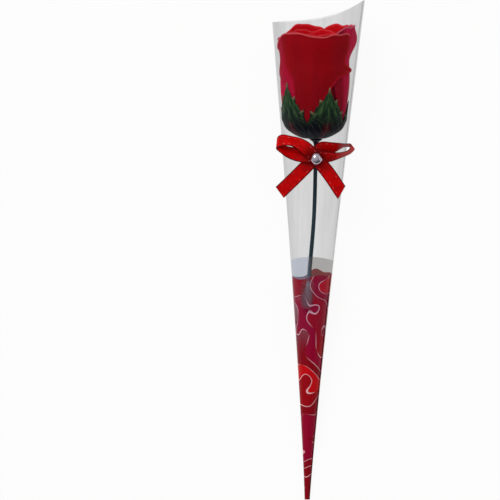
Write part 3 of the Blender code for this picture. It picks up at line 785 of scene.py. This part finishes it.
@dataclass(frozen=True)
class Petal:
    """A petal of the head.

    Attributes:
        angle: Direction of its middle round the head.
        layer: Its layer, from 0 at the bud to 1 outside.
        rise: Height of its rim as a share of the head's height.
        half_width: How far it reaches round the head to each side.
        tone: The tone of its paper.
        corner_drop: How far its rim falls to the corners, as a share of its height.
        corner_power: How late across it the rim falls.
        flare: How far it bulges out below its rim before it closes in.
        flare_from: Where across it the bulge begins, from -1 on the left to 1.
        lobe: How far round its right edge stands out halfway up.
        wing: How far round its left edge spreads towards the rim.
        wing_drop: The corner drop on a left edge that spreads.
        lip: How far its rim rolls out.
        notch: Where across its rim a dip lies, and how deep it is.
        claw: How slim it is lower down, from 0.5 to 1.
        sweep: Shares of the way up, and how far round its middle leans there.
    """

    angle: float
    layer: float
    rise: float
    half_width: float
    tone: PaperTone
    corner_drop: float = 0.13
    corner_power: int = 4
    flare: float = 0.0
    flare_from: float = -1.0
    lobe: float = 0.0
    wing: float = 0.0
    wing_drop: float = 0.0
    lip: float = 0.0006
    notch: Pair = (0.0, 0.0012)
    claw: float = 0.5
    sweep: tuple[Pair, ...] = ((0.0, 0.0), (0.5, 0.0), (1.0, 0.0))


@dataclass(frozen=True)
class Sepal:
    """A sepal: the direction of its tip, its rise up the head, and its layer."""

    angle: float
    rise: float
    layer: float


@dataclass
class RoseHead:
    """The flower head: petals on layers of one family, a rolled bud and the calyx."""

    radius: float = 0.0281
    height: float = 0.0846
    depth_ratio: float = 0.86
    paper: float = 0.00024
    base: Triple = (-0.0004, 0.0827, 0.021268)
    tilt: float = -84.7428
    # Shares of the radius and of the height up the outermost layer and up the innermost
    outer: tuple[Pair, ...] = (
        (0.427, 0.043), (0.675, 0.088), (0.835, 0.154), (0.878, 0.236), (0.935, 0.355),
        (0.968, 0.473), (0.970, 0.591), (0.953, 0.674), (0.985, 0.757), (1.045, 0.830),
        (1.078, 0.890), (1.095, 0.950), (1.105, 1.020),
    )
    inner: tuple[Pair, ...] = (
        (0.115, 0.110), (0.190, 0.165), (0.246, 0.284), (0.270, 0.450),
        (0.250, 0.615), (0.190, 0.757), (0.125, 0.880), (0.085, 1.020),
    )
    petals: tuple[Petal, ...] = (
        Petal(
            -90, 0.966, 0.957, 61, PaperTone.DEEP, corner_drop=0.02, flare=0.0004, lobe=21,
            wing=26, wing_drop=0.17, lip=0.0008, notch=(0.13, 0.0034), claw=1.0,
            sweep=((0.0, -10.0), (0.3, -16.0), (0.5, -9.0), (0.66, -2.0), (1.0, 0.0)),
        ),
        Petal(-8, 0.918, 1.018, 60, PaperTone.ROSE, flare=0.0026, flare_from=-0.10),
        Petal(182, 0.920, 0.885, 62, PaperTone.ROSE, corner_drop=0.12),
        Petal(46, 0.870, 1.014, 58, PaperTone.BRIGHT, corner_drop=0.19, corner_power=2),
        Petal(108, 0.823, 1.006, 62, PaperTone.BRIGHT, corner_drop=0.21, corner_power=2),
        Petal(-50, 0.775, 0.946, 66, PaperTone.BRIGHT),
        Petal(94, 0.730, 0.952, 66, PaperTone.BRIGHT),
        Petal(-122, 0.685, 0.940, 66, PaperTone.BRIGHT),
        Petal(22, 0.640, 0.934, 66, PaperTone.BRIGHT),
        Petal(166, 0.595, 0.940, 66, PaperTone.BRIGHT),
        Petal(-100, 0.500, 0.922, 74, PaperTone.BRIGHT),
        Petal(44, 0.450, 0.916, 74, PaperTone.BRIGHT),
        Petal(188, 0.400, 0.910, 76, PaperTone.BRIGHT),
        Petal(-28, 0.350, 0.904, 78, PaperTone.BRIGHT),
    )
    # Shares of the way up a petal, and of its half-width there
    widths: tuple[Pair, ...] = (
        (0.0, 0.17), (0.3, 0.36), (0.5, 0.60), (0.67, 0.86), (0.84, 1.0), (1.0, 0.95),
    )
    lobe_at: float = 0.66
    lobe_spread: float = 0.045
    lobe_curl: float = 0.00011
    # Shares of the way up a petal where its wing, bulge and closing in start, and their reach
    wing_spread: Pair = (0.56, 0.18)
    bulge: Pair = (0.68, 0.17)
    closing: Pair = (0.87, 0.13)
    closing_share: float = 1.1
    flare_ease: float = 0.3
    notch_width: float = 0.22
    lip_reach: float = 0.0042
    lip_dip: float = 0.7
    # Height of each train of waves along a rim, its radians across and its own offset
    rim_waves: tuple[Triple, ...] = ((0.0005, 9.0, 1.0), (0.0003, 17.0, 2.3))
    rim_margin: float = 0.0004
    # Depth of the ripples in a petal's face, and their radians across and up
    ripple: Triple = (0.00012, 14.0, 3.0)
    ripple_grows: Pair = (0.2, 0.5)
    # Offset of the waves from one petal to the next
    seed_step: float = 1.7
    columns: int = 46
    rows: int = 56
    layer_steps: int = 240
    bud_turns: float = 2.6
    bud_layers: Pair = (0.0, 0.17)
    bud_height: float = 0.0745
    # Mean length of a turn of the bud, and the waves along its rim
    bud_girth: float = 0.03
    bud_wave: float = 0.0004
    bud_wave_turn: float = 15.0
    bud_columns: int = 180
    bud_rows: int = 32
    sepals: tuple[Sepal, ...] = (
        Sepal(-140, 0.500, 1.01),
        Sepal(-66, 0.467, 1.01),
        Sepal(12, 0.331, 0.995),
        Sepal(80, 0.414, 0.93),
        Sepal(148, 0.390, 0.97),
    )
    bowl_height: float = 0.0125
    bowl_hole: float = 0.0019
    bowl_rows: int = 12
    # Shares of the head's radius and of the bowl's height
    bowl: tuple[Pair, ...] = ((0.31, 0.03), (0.53, 0.24), (0.752, 0.62))
    sepal_thickness: float = 0.00045
    sepal_half_width: float = 0.012
    sepal_rows: int = 44
    sepal_columns: int = 16
    # How far the side edges of a sepal bend in
    sepal_tuck: float = 0.0003
    # Shares of the way up a sepal, and of its width there
    sepal_widths: tuple[Pair, ...] = (
        (0.0, 1.0), (0.14, 0.87), (0.25, 0.75), (0.38, 0.59), (0.53, 0.40),
        (0.63, 0.27), (0.73, 0.15), (0.84, 0.08), (1.0, 0.015),
    )
    # Places up a sepal of its side teeth, and their width in degrees and rise in metres
    teeth: tuple[Triple, ...] = (
        (0.25, 4.2, 0.0032), (0.43, 1.6, 0.0010), (0.58, 3.8, 0.0032), (0.76, 1.2, 0.0010),
    )
    # How far out across a sepal its teeth begin, and the length of their slow and sharp sides
    teeth_from: float = 0.72
    tooth_rise: float = 0.11
    tooth_cut: float = 0.03
    outer_curve: np.ndarray = field(init=False)
    inner_curve: np.ndarray = field(init=False)
    places: np.ndarray = field(init=False)

    def __post_init__(self) -> None:
        """Works out the outermost and innermost curves that every layer lies between."""
        size = np.array((self.radius, self.height))
        self.places = np.linspace(0.0, 1.0, self.layer_steps + 1)
        outer, inner = np.array(self.outer) * size, np.array(self.inner) * size
        self.outer_curve = SmoothCurve(chord_knots(outer), outer).at(self.places)
        self.inner_curve = SmoothCurve(chord_knots(inner), inner).at(self.places)

    def placing(self) -> Matrix:
        """Gives the head's own frame in the part's."""
        turn = Matrix.Rotation(math.radians(self.tilt), 4, "X")
        return Matrix.Translation(self.base) @ turn

    def layer_curve(self, layer: Any) -> np.ndarray:
        """Gives radius and height all the way up a layer."""
        return self.inner_curve + layer * (self.outer_curve - self.inner_curve)

    def profile(self, share: np.ndarray, layer: float) -> tuple[np.ndarray, np.ndarray]:
        """Reads a layer.

        Args:
            share: Shares of the way up the layer.
            layer: 0 at the bud's middle and 1 at the outermost petal.

        Returns:
            The radii and the heights there.
        """
        radii, heights = self.layer_curve(layer).T
        return np.interp(share, self.places, radii), np.interp(share, self.places, heights)

    def share_at(self, height: Any, layer: float) -> np.ndarray:
        """Gives how far up a layer it reaches each height."""
        return np.interp(height, self.layer_curve(layer)[:, 1], self.places)

    def around(self, radius: np.ndarray, angle: np.ndarray, height: np.ndarray) -> np.ndarray:
        """Gives points at radii, directions and heights, with the head's depth pressed in."""
        turn = np.radians(angle)
        x, y = radius * np.cos(turn), radius * np.sin(turn) * self.depth_ratio
        return np.stack(np.broadcast_arrays(x, y, height), axis=-1)

    def petal_mesh(self, name: str, petal: Petal, seed: float) -> bpy.types.Mesh:
        """Shapes one petal, with a rolled lip and soft waves along its rim.

        Args:
            name: Name of the mesh.
            petal: The petal.
            seed: Offset of its waves.

        Returns:
            The petal's middle surface.
        """
        up = np.linspace(0.0, 1.0, self.rows + 1)[:, None]
        across = np.linspace(-1.0, 1.0, self.columns + 1)[None, :]
        top = petal.rise * self.height
        left = (across < 0) & (petal.wing > 0)
        corner = np.where(left, petal.wing_drop, petal.corner_drop)
        drop = corner * top * np.abs(across) ** petal.corner_power
        wave = np.zeros_like(across)
        for size, turn, offset in self.rim_waves:
            wave = wave + size * np.sin(turn * across + offset * seed)
        place, depth = petal.notch
        dip = depth * np.exp(-(((across - place) / self.notch_width) ** 2))
        rim = self.share_at(top - drop - dip - self.rim_margin + wave, petal.layer)
        half_width = petal.half_width * curve_through(self.widths).at(up) ** petal.claw
        middle = petal.angle + curve_through(petal.sweep).at(up)
        lobe = petal.lobe * np.exp(-(((up - self.lobe_at) / self.lobe_spread) ** 2))
        radius, height = self.profile(up * rim, petal.layer)
        opening = smooth_step(up, *self.bulge) - self.closing_share * smooth_step(up, *self.closing)
        flared = smooth_step(across, petal.flare_from, self.flare_ease)
        radius = radius + petal.flare * opening * flared
        radius = radius + self.lobe_curl * lobe * np.maximum(across, 0.0) ** 4
        angle = middle + half_width * across + lobe * np.maximum(across, 0.0) ** 3
        wing = petal.wing * smooth_step(up, *self.wing_spread)
        angle = angle + wing * np.minimum(across, 0.0)
        to_rim = (1 - up) * top
        curl = np.clip(1 - to_rim / self.lip_reach, 0.0, 1.0) ** 2
        radius = radius + petal.lip * curl
        height = height - self.lip_dip * petal.lip * curl**2
        depth, turn, rise = self.ripple
        ripple = depth * np.sin(turn * across + seed + rise * up)
        radius = radius + ripple * smooth_step(up, *self.ripple_grows)
        points = self.around(radius, angle, height)
        metres = np.stack(np.broadcast_arrays(np.radians(angle) * self.radius, up * top), axis=-1)
        return sheet_mesh(name, points, metres)

    def bud_mesh(self) -> bpy.types.Mesh:
        """Shapes the bud, one petal rolled up on itself."""
        up = np.linspace(0.0, 1.0, self.bud_rows + 1)
        turn = np.linspace(0.0, 1.0, self.bud_columns + 1)
        first, last = self.bud_layers
        top = float(self.share_at(self.bud_height, 0.0))
        columns = []
        for along in turn:
            radius, height = self.profile(top * up, first + (last - first) * along)
            lift = self.bud_wave * math.sin(self.bud_wave_turn * along) * up**6
            columns.append(self.around(radius, 360 * self.bud_turns * along, height + lift))
        points = np.stack(columns, axis=1)
        rolled_out = turn[None, :] * self.bud_turns * self.bud_girth
        metres = np.stack(np.broadcast_arrays(rolled_out, up[:, None] * self.bud_height), axis=-1)
        return sheet_mesh("bud_paper_roll", points, metres)

    def sepal_patch(self, index: int) -> tuple[np.ndarray, np.ndarray]:
        """Shapes one sepal with the part of the bowl under it.

        Args:
            index: Which sepal.

        Returns:
            Its points and their place on the flat sheet, rows by columns.
        """
        angles = [sepal.angle for sepal in self.sepals]
        middles = [(a + b) / 2 for a, b in zip(angles, angles[1:])]
        closing = (angles[-1] + angles[0] + 360) / 2
        borders = [closing - 360, *middles, closing]
        sepal, left, right = self.sepals[index], borders[index], borders[index + 1]
        across = np.linspace(0.0, 1.0, self.sepal_columns + 1)
        border = left + (right - left) * across
        outward = 2 * across - 1
        base_layer = self.sepals[0].layer
        top = self.profile(self.share_at(self.bowl_height, base_layer), base_layer)
        inner = [(self.bowl_hole, 0.0)]
        inner += [(a * self.radius, b * self.bowl_height) for a, b in self.bowl]
        inner.append((float(top[0]), float(top[1])))
        bowl_ups = np.linspace(0.0, 1.0, self.bowl_rows + 1)
        bowl = SmoothCurve(chord_knots(np.array(inner)), inner).at(bowl_ups)
        lines = [self.around(radius, border, height) for radius, height in bowl]
        widths = curve_through(self.sepal_widths)
        toothed = np.clip((abs(outward) - self.teeth_from) / (1 - self.teeth_from), 0, 1) ** 1.3
        reach = sepal.rise * self.height - self.bowl_height
        for up in np.linspace(0.0, 1.0, self.sepal_rows + 1)[1:]:
            angle = sepal.angle + (border - sepal.angle) * float(widths.at(up))
            height = np.full_like(angle, self.bowl_height + reach * up)
            for place, width, rise in self.teeth:
                tooth = self.tooth(up, place) * toothed
                angle = angle + np.sign(outward) * width * tooth
                height = height + rise * tooth
            layer = base_layer + (sepal.layer - base_layer) * float(smooth_step(2 * up))
            radius, height = self.profile(self.share_at(height, layer), layer)
            radius = radius - self.sepal_tuck * abs(outward) ** 2 * float(smooth_step(3 * up))
            lines.append(self.around(radius, angle, height))
        points = np.stack(lines)
        along = np.linspace(0.0, self.bowl_height + reach, len(lines))[:, None]
        aside = outward[None, :] * self.sepal_half_width
        metres = np.stack(np.broadcast_arrays(aside, along), axis=-1)
        return points, metres

    def tooth(self, up: float, place: float) -> float:
        """Gives how far a tooth stands out: a slow rise to its point, then a sharp cut."""
        if up <= place:
            return max(0.0, 1 - (place - up) / self.tooth_rise) ** 1.5
        return max(0.0, 1 - (up - place) / self.tooth_cut)

    def build(self, receptacle: bpy.types.Object) -> None:
        """Builds and dresses the petals, the bud, the calyx and the receptacle.

        Args:
            receptacle: The CAD node of the cone that the petals stand on.
        """
        placing = self.placing()
        papers = {tone: CrepePaper(tone).build() for tone in PaperTone}
        for index, petal in enumerate(self.petals):
            node = f"petal_{index + 1:02d}"
            mesh = self.petal_mesh(f"crepe_{node}", petal, self.seed_step * index)
            paper = papers[petal.tone]
            piece = place_piece(mesh.name, mesh, paper, [node], placing)
            thicken(piece, self.paper)
        paper = papers[PaperTone.BRIGHT]
        bud = place_piece("crepe_bud", self.bud_mesh(), paper, ["bud"], placing)
        thicken(bud, self.paper)
        leaf = MouldedLeaf().build()
        for index in range(len(self.sepals)):
            points, metres = self.sepal_patch(index)
            mesh = sheet_mesh(f"moulded_sepal_{index + 1}", points, metres)
            sepal = place_piece(mesh.name, mesh, leaf, ["calyx"], placing)
            thicken(sepal, self.sepal_thickness)
        receptacle.data.materials.clear()
        receptacle.data.materials.append(leaf)


# Stem


@dataclass
class Stem:
    """The stem: a funnel under the calyx, a gently bent shaft and a flared foot."""

    radius: float = 0.0015
    start: Triple = (0.0012, 0.077173, 0.020760)
    bend: Triple = (0.0012, 0.014339, 0.014978)
    end: Triple = (-0.0033, -0.0435, 0.006086)
    # Share of the way down the shaft, and how far to the right it runs there
    course: tuple[Pair, ...] = (
        (0.0, 0.0012), (0.15, 0.0013), (0.46, 0.0008), (0.64, -0.0005), (0.74, -0.0013),
        (1.0, -0.0033),
    )
    shaft_end: float = 0.84945
    shaft_rows: int = 40
    # Share of the radius in the shaft's knobs, how many there are in a metre, and their offset
    knobs: Triple = (0.05, 180.0, 3.0)
    # Distance from the funnel's top, or from the foot's end, and the radius there
    funnel: tuple[Pair, ...] = (
        (0.0, 0.0045), (0.0001, 0.0048), (0.0006, 0.0046), (0.00125, 0.0035), (0.0020, 0.0025),
        (0.0030, 0.0019), (0.0040, 0.00158), (0.0050, 0.0015),
    )
    foot: tuple[Pair, ...] = (
        (0.0190, 0.0015), (0.0170, 0.00168), (0.0150, 0.0021), (0.0130, 0.0028), (0.0112, 0.0036),
        (0.0096, 0.00425), (0.0080, 0.0047), (0.0055, 0.0049), (0.0006, 0.0050), (0.0001, 0.0049),
        (0.0, 0.0047),
    )
    sides: int = 28

    def rings(self) -> list[tuple[Vector, float]]:
        """Gives the middle and the radius of each ring, from the funnel down to the foot."""
        start, bend, end = Vector(self.start), Vector(self.bend), Vector(self.end)
        up = (start - bend).normalized()
        aside = curve_through(self.course)
        depth, spacing, offset = self.knobs
        rings = [(start + up * (self.funnel[-1][0] - down), radius) for down, radius in self.funnel]
        for share in np.linspace(0.0, self.shaft_end, self.shaft_rows + 1)[1:]:
            place = start * (1 - share) ** 2 + bend * 2 * share * (1 - share) + end * share**2
            place.x = float(aside.at(share))
            knob = noise.noise(Vector((0.0, spacing * float(place.y), offset)))
            rings.append((place, self.radius * (1 + depth * knob)))
        heading = (end - rings[-1][0]).normalized()
        rings += [(end - heading * above, radius) for above, radius in self.foot]
        return rings

    def build(self) -> None:
        """Builds and dresses the stem."""
        rings = self.rings()
        vertices, faces = [], []
        for index, (place, radius) in enumerate(rings):
            before, after = rings[max(index - 1, 0)][0], rings[min(index + 1, len(rings) - 1)][0]
            axis = (before - after).normalized()
            side = axis.cross(Vector((1.0, 0.0, 0.0))).normalized()
            across = side.cross(axis)
            for a in np.linspace(0, 2 * math.pi, self.sides, endpoint=False):
                vertices.append(place + (across * math.cos(a) + side * math.sin(a)) * radius)
        for ring in range(len(rings) - 1):
            for i in range(self.sides):
                after = (i + 1) % self.sides
                low, high = ring * self.sides, (ring + 1) * self.sides
                faces.append((low + i, high + i, high + after, low + after))
        faces.append(tuple(range(self.sides)))
        faces.append(tuple(reversed(range(len(vertices) - self.sides, len(vertices)))))
        mesh = bpy.data.meshes.new("stem_with_foot")
        mesh.from_pydata([tuple(v) for v in vertices], [], faces)
        mesh.shade_smooth()
        place_piece(mesh.name, mesh, StemPlastic().build(), ["stem"])


# Sleeve


@dataclass
class Sleeve:
    """The sleeve: one sheet of film rolled into a slim cone, with its edges lapped."""

    length: float = 0.3720
    tip: float = 0.0017
    mouth: float = 0.035017
    # Above 1, the cone widens slowly at first
    flare: float = 1.16
    depth_ratio: float = 0.94
    # Below 1, the section's middle sinks, so that its foot lies flat
    settle: float = 0.97
    # Above 1, the section narrows sooner than an ellipse
    power: float = 1.12
    film: float = 0.00025
    # Directions of the inner edge and, one turn on, of the outer edge that laps over it
    lap: Pair = (8.0, 20.0)
    lap_gap: float = 0.0003
    # Where the outer edge starts to lift off the section, and how far round it rises
    lap_lift: Pair = (350.0, 14.0)
    coarse_step: float = 3.0
    fine_step: float = 2.0
    rows: int = 130
    # Where the film ends on the left, and how far it rises from there to the right
    rim_low: float = 0.1681
    slope_rise: float = 0.0040
    corner_rise: float = 0.0139
    corner_power: float = 3.6
    ripple: float = 0.00022
    # Ripples round the section and in a metre along it, and the half-width that has them in full
    ripple_round: float = 2.2
    ripple_along: float = 26.0
    ripple_half_width: float = 0.012

    def half_width(self, y: Any) -> Any:
        """Gives the half-width of the section at places along the sleeve."""
        share = np.maximum(np.asarray(y) + self.length / 2, 0.0) / self.length
        return self.tip + (self.mouth - self.tip) * share**self.flare

    def centre_height(self, y: Any) -> Any:
        """Gives the height of the section's middle."""
        return self.settle * self.depth_ratio * self.half_width(y)

    def rim_y(self, angle: Any) -> Any:
        """Gives where the film ends: a slant that sweeps up into the corner at the lap."""
        across = (1 + np.cos(np.radians(angle))) / 2
        corner = self.corner_rise * across**self.corner_power
        return self.rim_low + self.slope_rise * across + corner

    def build(self) -> None:
        """Builds and dresses the film."""
        inner_edge, outer_edge = self.lap
        lift_from = self.lap_lift[0]
        main = np.arange(inner_edge, lift_from, self.coarse_step)
        lifted = np.arange(lift_from, 360 + outer_edge + 0.1, self.fine_step)
        angles = np.concatenate([main, lifted])[::-1]
        rows = []
        for up in np.linspace(0.0, 1.0, self.rows + 1):
            row = []
            for angle in angles:
                y = -self.length / 2 + (float(self.rim_y(angle)) + self.length / 2) * up
                out = (self.film + self.lap_gap) * float(smooth_step(angle, *self.lap_lift))
                row.append(self.point(y, angle, out))
            rows.append(row)
        points = np.array(rows)
        around = np.radians(angles)[None, :] * self.half_width(points[:, :, 1])
        metres = np.stack([around, points[:, :, 1]], axis=-1)
        mesh = sheet_mesh("rolled_film", points, metres)
        place_piece(mesh.name, mesh, PrintedFilm().build(), ["sleeve"])

    def point(self, y: float, angle: float, out: float) -> Triple:
        """Gives a point of the film.

        Args:
            y: Place along the sleeve.
            angle: Direction round the section.
            out: How far the lap lifts the film there.

        Returns:
            The point, with the film's slight ripples, kept inside the section.
        """
        turn = math.radians(angle)
        half = float(self.half_width(y))
        sine = math.sin(turn)
        rise = math.copysign(abs(sine) ** self.power, sine)
        around = math.cos(turn) * self.ripple_round, math.sin(turn) * self.ripple_round
        swell = 0.5 + 0.5 * noise.noise(Vector((*around, y * self.ripple_along)))
        inward = self.ripple * swell * min(1.0, half / self.ripple_half_width)
        half, depth = half + out - inward, self.depth_ratio * half + out - inward
        height = float(self.centre_height(y)) + depth * rise
        return half * math.cos(turn), y, max(height, 0.0)


# Bow


@dataclass
class Bow:
    """The bow: one ribbon laid in two loops and two tails, with a half-round bead on it."""

    width: float = 0.0102
    thickness: float = 0.00030
    # Distance from one layer of ribbon to the next
    pitch: float = 0.00065
    place: Triple = (0.0018, 0.0679, 0.043061)
    # Slope of the film under it, and how far the tails' ends droop with the film's sides
    slope: float = 10.2585
    tail_droop: float = 0.0030
    # How far the cut ends slant, from the ribbon's middle to its edge
    left_slant: float = 0.0009
    right_slant: float = -0.0024
    bead_radius: float = 0.0046
    bead_height: float = 0.0042
    bead_foot: float = 0.00231
    # Straight wall under the bead's dome, and the bevel at its foot
    bead_wall: float = 0.000504
    bead_bevel: float = 0.0001
    bead_sides: int = 64
    bead_rings: int = 24
    # Right, up, layer in the knot, bank, and the way the ribbon's edge faces
    course: tuple[tuple[float, float, float, float, float], ...] = (
        (-0.0267, -0.0270, 0, 0, 137),
        (-0.0134, -0.0130, 0, 0, 135),
        (-0.0030, -0.0015, 0, 0, 130),
        (0.0042, 0.0076, 0, 6, 118),
        (0.0125, 0.0088, 0, 34, 104),
        (0.0207, 0.0108, 0, 66, 104),
        (0.0268, 0.0098, 0.5, 58, 120),
        (0.0250, 0.0068, 1, 62, 112),
        (0.0183, 0.0036, 1, 58, 104),
        (0.0112, 0.0020, 1, 38, 100),
        (0.0000, 0.0012, 1, 0, 92),
        (-0.0097, 0.0018, 1, -12, 84),
        (-0.0178, 0.0036, 1, -34, 80),
        (-0.0252, 0.0070, 1.3, -58, 72),
        (-0.0297, 0.0116, 1.6, -54, 86),
        (-0.0264, 0.0134, 2, -44, 100),
        (-0.0188, 0.0132, 2, -54, 86),
        (-0.0108, 0.0096, 2, -28, 68),
        (-0.0034, 0.0030, 2, 0, 44),
        (0.0074, -0.0089, 2, 0, 37),
        (0.0192, -0.0258, 2, 0, 37),
    )
    steps: int = 11
    columns: int = 14
    # Share of the course to each side over which its heading is measured
    look_ahead: float = 0.002

    def placing(self) -> Matrix:
        """Gives the bow's own frame in the part's."""
        turn = Matrix.Rotation(math.radians(self.slope), 4, "X")
        return Matrix.Translation(self.place) @ turn

    def ribbon(self) -> tuple[np.ndarray, np.ndarray]:
        """Lays the ribbon along its course.

        Returns:
            Its points and their place on the flat ribbon, rows by columns.
        """
        course = np.array(self.course)
        knots = chord_knots(course[:, :2])
        curve = SmoothCurve(knots, course)
        count = self.steps * (len(course) - 1)
        half = self.width / 2
        reach = float(np.linalg.norm(course[0, :2]))
        sides = np.linspace(-1.0, 1.0, self.columns + 1)
        rows = []
        for step in range(count + 1):
            share = step / count
            right, up, layer, bank, facing = curve.at(share)
            ahead, behind = curve.at(share + self.look_ahead), curve.at(share - self.look_ahead)
            heading = (ahead - behind)[:2]
            heading = heading / np.linalg.norm(heading)
            turn, tilt = math.radians(facing), math.radians(bank)
            edge = np.array((math.cos(turn), math.sin(turn))) * math.cos(tilt)
            on_tail = share < knots[2] or share > knots[-3]
            droop = self.tail_droop * (math.hypot(right, up) / reach) ** 2 if on_tail else 0.0
            rest = self.thickness / 2 + self.pitch * layer + half * abs(math.sin(tilt)) - droop
            slant = 0.0
            if share < knots[1]:
                slant = self.left_slant * (1 - share / knots[1])
            elif share > knots[-2]:
                slant = self.right_slant * (share - knots[-2]) / (1 - knots[-2])
            flat = sides[:, None] * (edge * half + heading * slant)[None, :]
            rise = sides * half * math.sin(tilt)
            rows.append(np.column_stack([right + flat[:, 0], up + flat[:, 1], rest + rise]))
        points = np.array(rows)
        middle = points[:, self.columns // 2]
        lengths = np.linalg.norm(np.diff(middle, axis=0), axis=1)
        along = np.concatenate([[0.0], np.cumsum(lengths)])
        metres = np.stack(np.broadcast_arrays(sides[None, :] * half, along[:, None]), axis=-1)
        return points, metres

    def build(self) -> None:
        """Builds and dresses the ribbon and the bead."""
        placing = self.placing()
        points, metres = self.ribbon()
        mesh = sheet_mesh("satin_bow", points, metres)
        satin = SatinRibbon(self.width, self.place).build()
        ribbon = place_piece(mesh.name, mesh, satin, ["ribbon_bow"], placing)
        thicken(ribbon, self.thickness)
        mesh = turned_mesh("plated_bead", self.bead_profile(), self.bead_sides)
        place_piece(mesh.name, mesh, PlatedBead().build(), ["bead"], placing)

    def bead_profile(self) -> list[Pair]:
        """Gives radius and height from the middle of the bead's foot up to its top."""
        radius, foot = self.bead_radius, self.bead_foot
        dome = self.bead_height - self.bead_wall
        profile = [(0.0, foot), (0.90 * radius, foot), (0.97 * radius, foot + self.bead_bevel)]
        for turn in np.linspace(math.pi / 2, 0.0, self.bead_rings + 1):
            height = foot + self.bead_wall + dome * math.cos(turn)
            profile.append((radius * math.sin(turn), height))
        return profile


# Studio


@dataclass
class Studio:
    """A white sweep, soft lamps and a camera looking straight down from far off."""

    photo_width: float = 0.37125
    distance: float = 9.0
    focus_height: float = 0.020
    roll: float = 1.167
    centre: Pair = (-0.04605, -0.00125)
    # Direction that the sky brightens to, and where the brightening starts and is complete
    bright_side: Triple = (-0.45, 0.45, 0.55)
    brightening: Pair = (-0.35, 0.70)
    bright_sky: float = 0.68
    dim_sky: float = 0.10
    key_place: Triple = (-0.75, 0.75, 1.25)
    key_size: float = 0.7
    key_power: float = 8.0
    fill_place: Triple = (1.25, 0.1, 0.5)
    fill_size: float = 1.6
    fill_power: float = 4.4
    lit_place: Triple = (0.0, 0.08, 0.02)
    floor_half: float = 4.0
    floor_height: float = -0.0004

    def build(self) -> None:
        """Builds the floor, the world, the lamps and the camera."""
        self.floor()
        self.world()
        self.lamp("key_softbox", self.key_place, self.key_size, self.key_power)
        self.lamp("fill_softbox", self.fill_place, self.fill_size, self.fill_power)
        self.camera()
        bpy.context.scene.view_settings.view_transform = "Standard"

    def floor(self) -> None:
        """Lays the sweep just under the part."""
        mesh = bpy.data.meshes.new("sweep")
        half, low = self.floor_half, self.floor_height
        corners = [(-half, -half, low), (half, -half, low), (half, half, low), (-half, half, low)]
        mesh.from_pydata(corners, [], [(0, 1, 2, 3)])
        mesh.materials.append(PaperSweep().build())
        sweep = bpy.data.objects.new("sweep", mesh)
        bpy.context.scene.collection.objects.link(sweep)

    def world(self) -> None:
        """Makes a soft sky, brighter from the upper left, that the camera sees as white."""
        world = bpy.data.worlds.new("studio_sky")
        bpy.context.scene.world = world
        world.use_nodes = True
        tree = world.node_tree
        sky = tree.nodes["Background"]
        sky.inputs["Color"].default_value = (1.0, 1.0, 1.0, 1.0)
        towards = add_node(tree, "VectorMath", {
            0: add_node(tree, "TexCoord", output="Generated"), 1: self.bright_side,
        }, "Value", operation="DOT_PRODUCT")
        soft = add_node(tree, "MapRange", {
            "Value": towards, "From Min": self.brightening[0], "From Max": self.brightening[1],
            "To Min": self.dim_sky, "To Max": self.bright_sky,
        }, interpolation_type="SMOOTHSTEP")
        strength = add_node(tree, "Mix", {
            0: add_node(tree, "LightPath", output="Is Camera Ray"), 2: soft, 3: 1.0,
        }, data_type="FLOAT")
        tree.links.new(strength, sky.inputs["Strength"])

    def lamp(self, name: str, place: Triple, size: float, power: float) -> None:
        """Adds a square softbox that points at the flower head.

        Args:
            name: Its name.
            place: Where it hangs.
            size: Length of its sides.
            power: Its power in watts.
        """
        light = bpy.data.lights.new(name, "AREA")
        light.size = size
        light.energy = power
        lamp = bpy.data.objects.new(name, light)
        lamp.location = place
        towards = Vector(self.lit_place) - Vector(place)
        lamp.rotation_euler = towards.to_track_quat("-Z", "Y").to_euler()
        bpy.context.scene.collection.objects.link(lamp)

    def camera(self) -> None:
        """Places the camera with the photograph's framing."""
        lens = bpy.data.cameras.new("camera")
        lens.lens = lens.sensor_width * (self.distance - self.focus_height) / self.photo_width
        lens.clip_end = 2 * self.distance
        camera = bpy.data.objects.new("camera", lens)
        camera.location = (*self.centre, self.distance)
        camera.rotation_euler = (0.0, 0.0, math.radians(self.roll))
        bpy.context.scene.collection.objects.link(camera)
        bpy.context.scene.camera = camera


def main() -> None:
    """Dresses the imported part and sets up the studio."""
    logging.basicConfig(level=logging.INFO, format="%(message)s")
    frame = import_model()
    Studio().build()
    RoseHead().build(frame["nodes"]["receptacle"])
    Stem().build()
    Sleeve().build()
    Bow().build()
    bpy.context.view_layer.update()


if __name__ == "__main__":
    main()
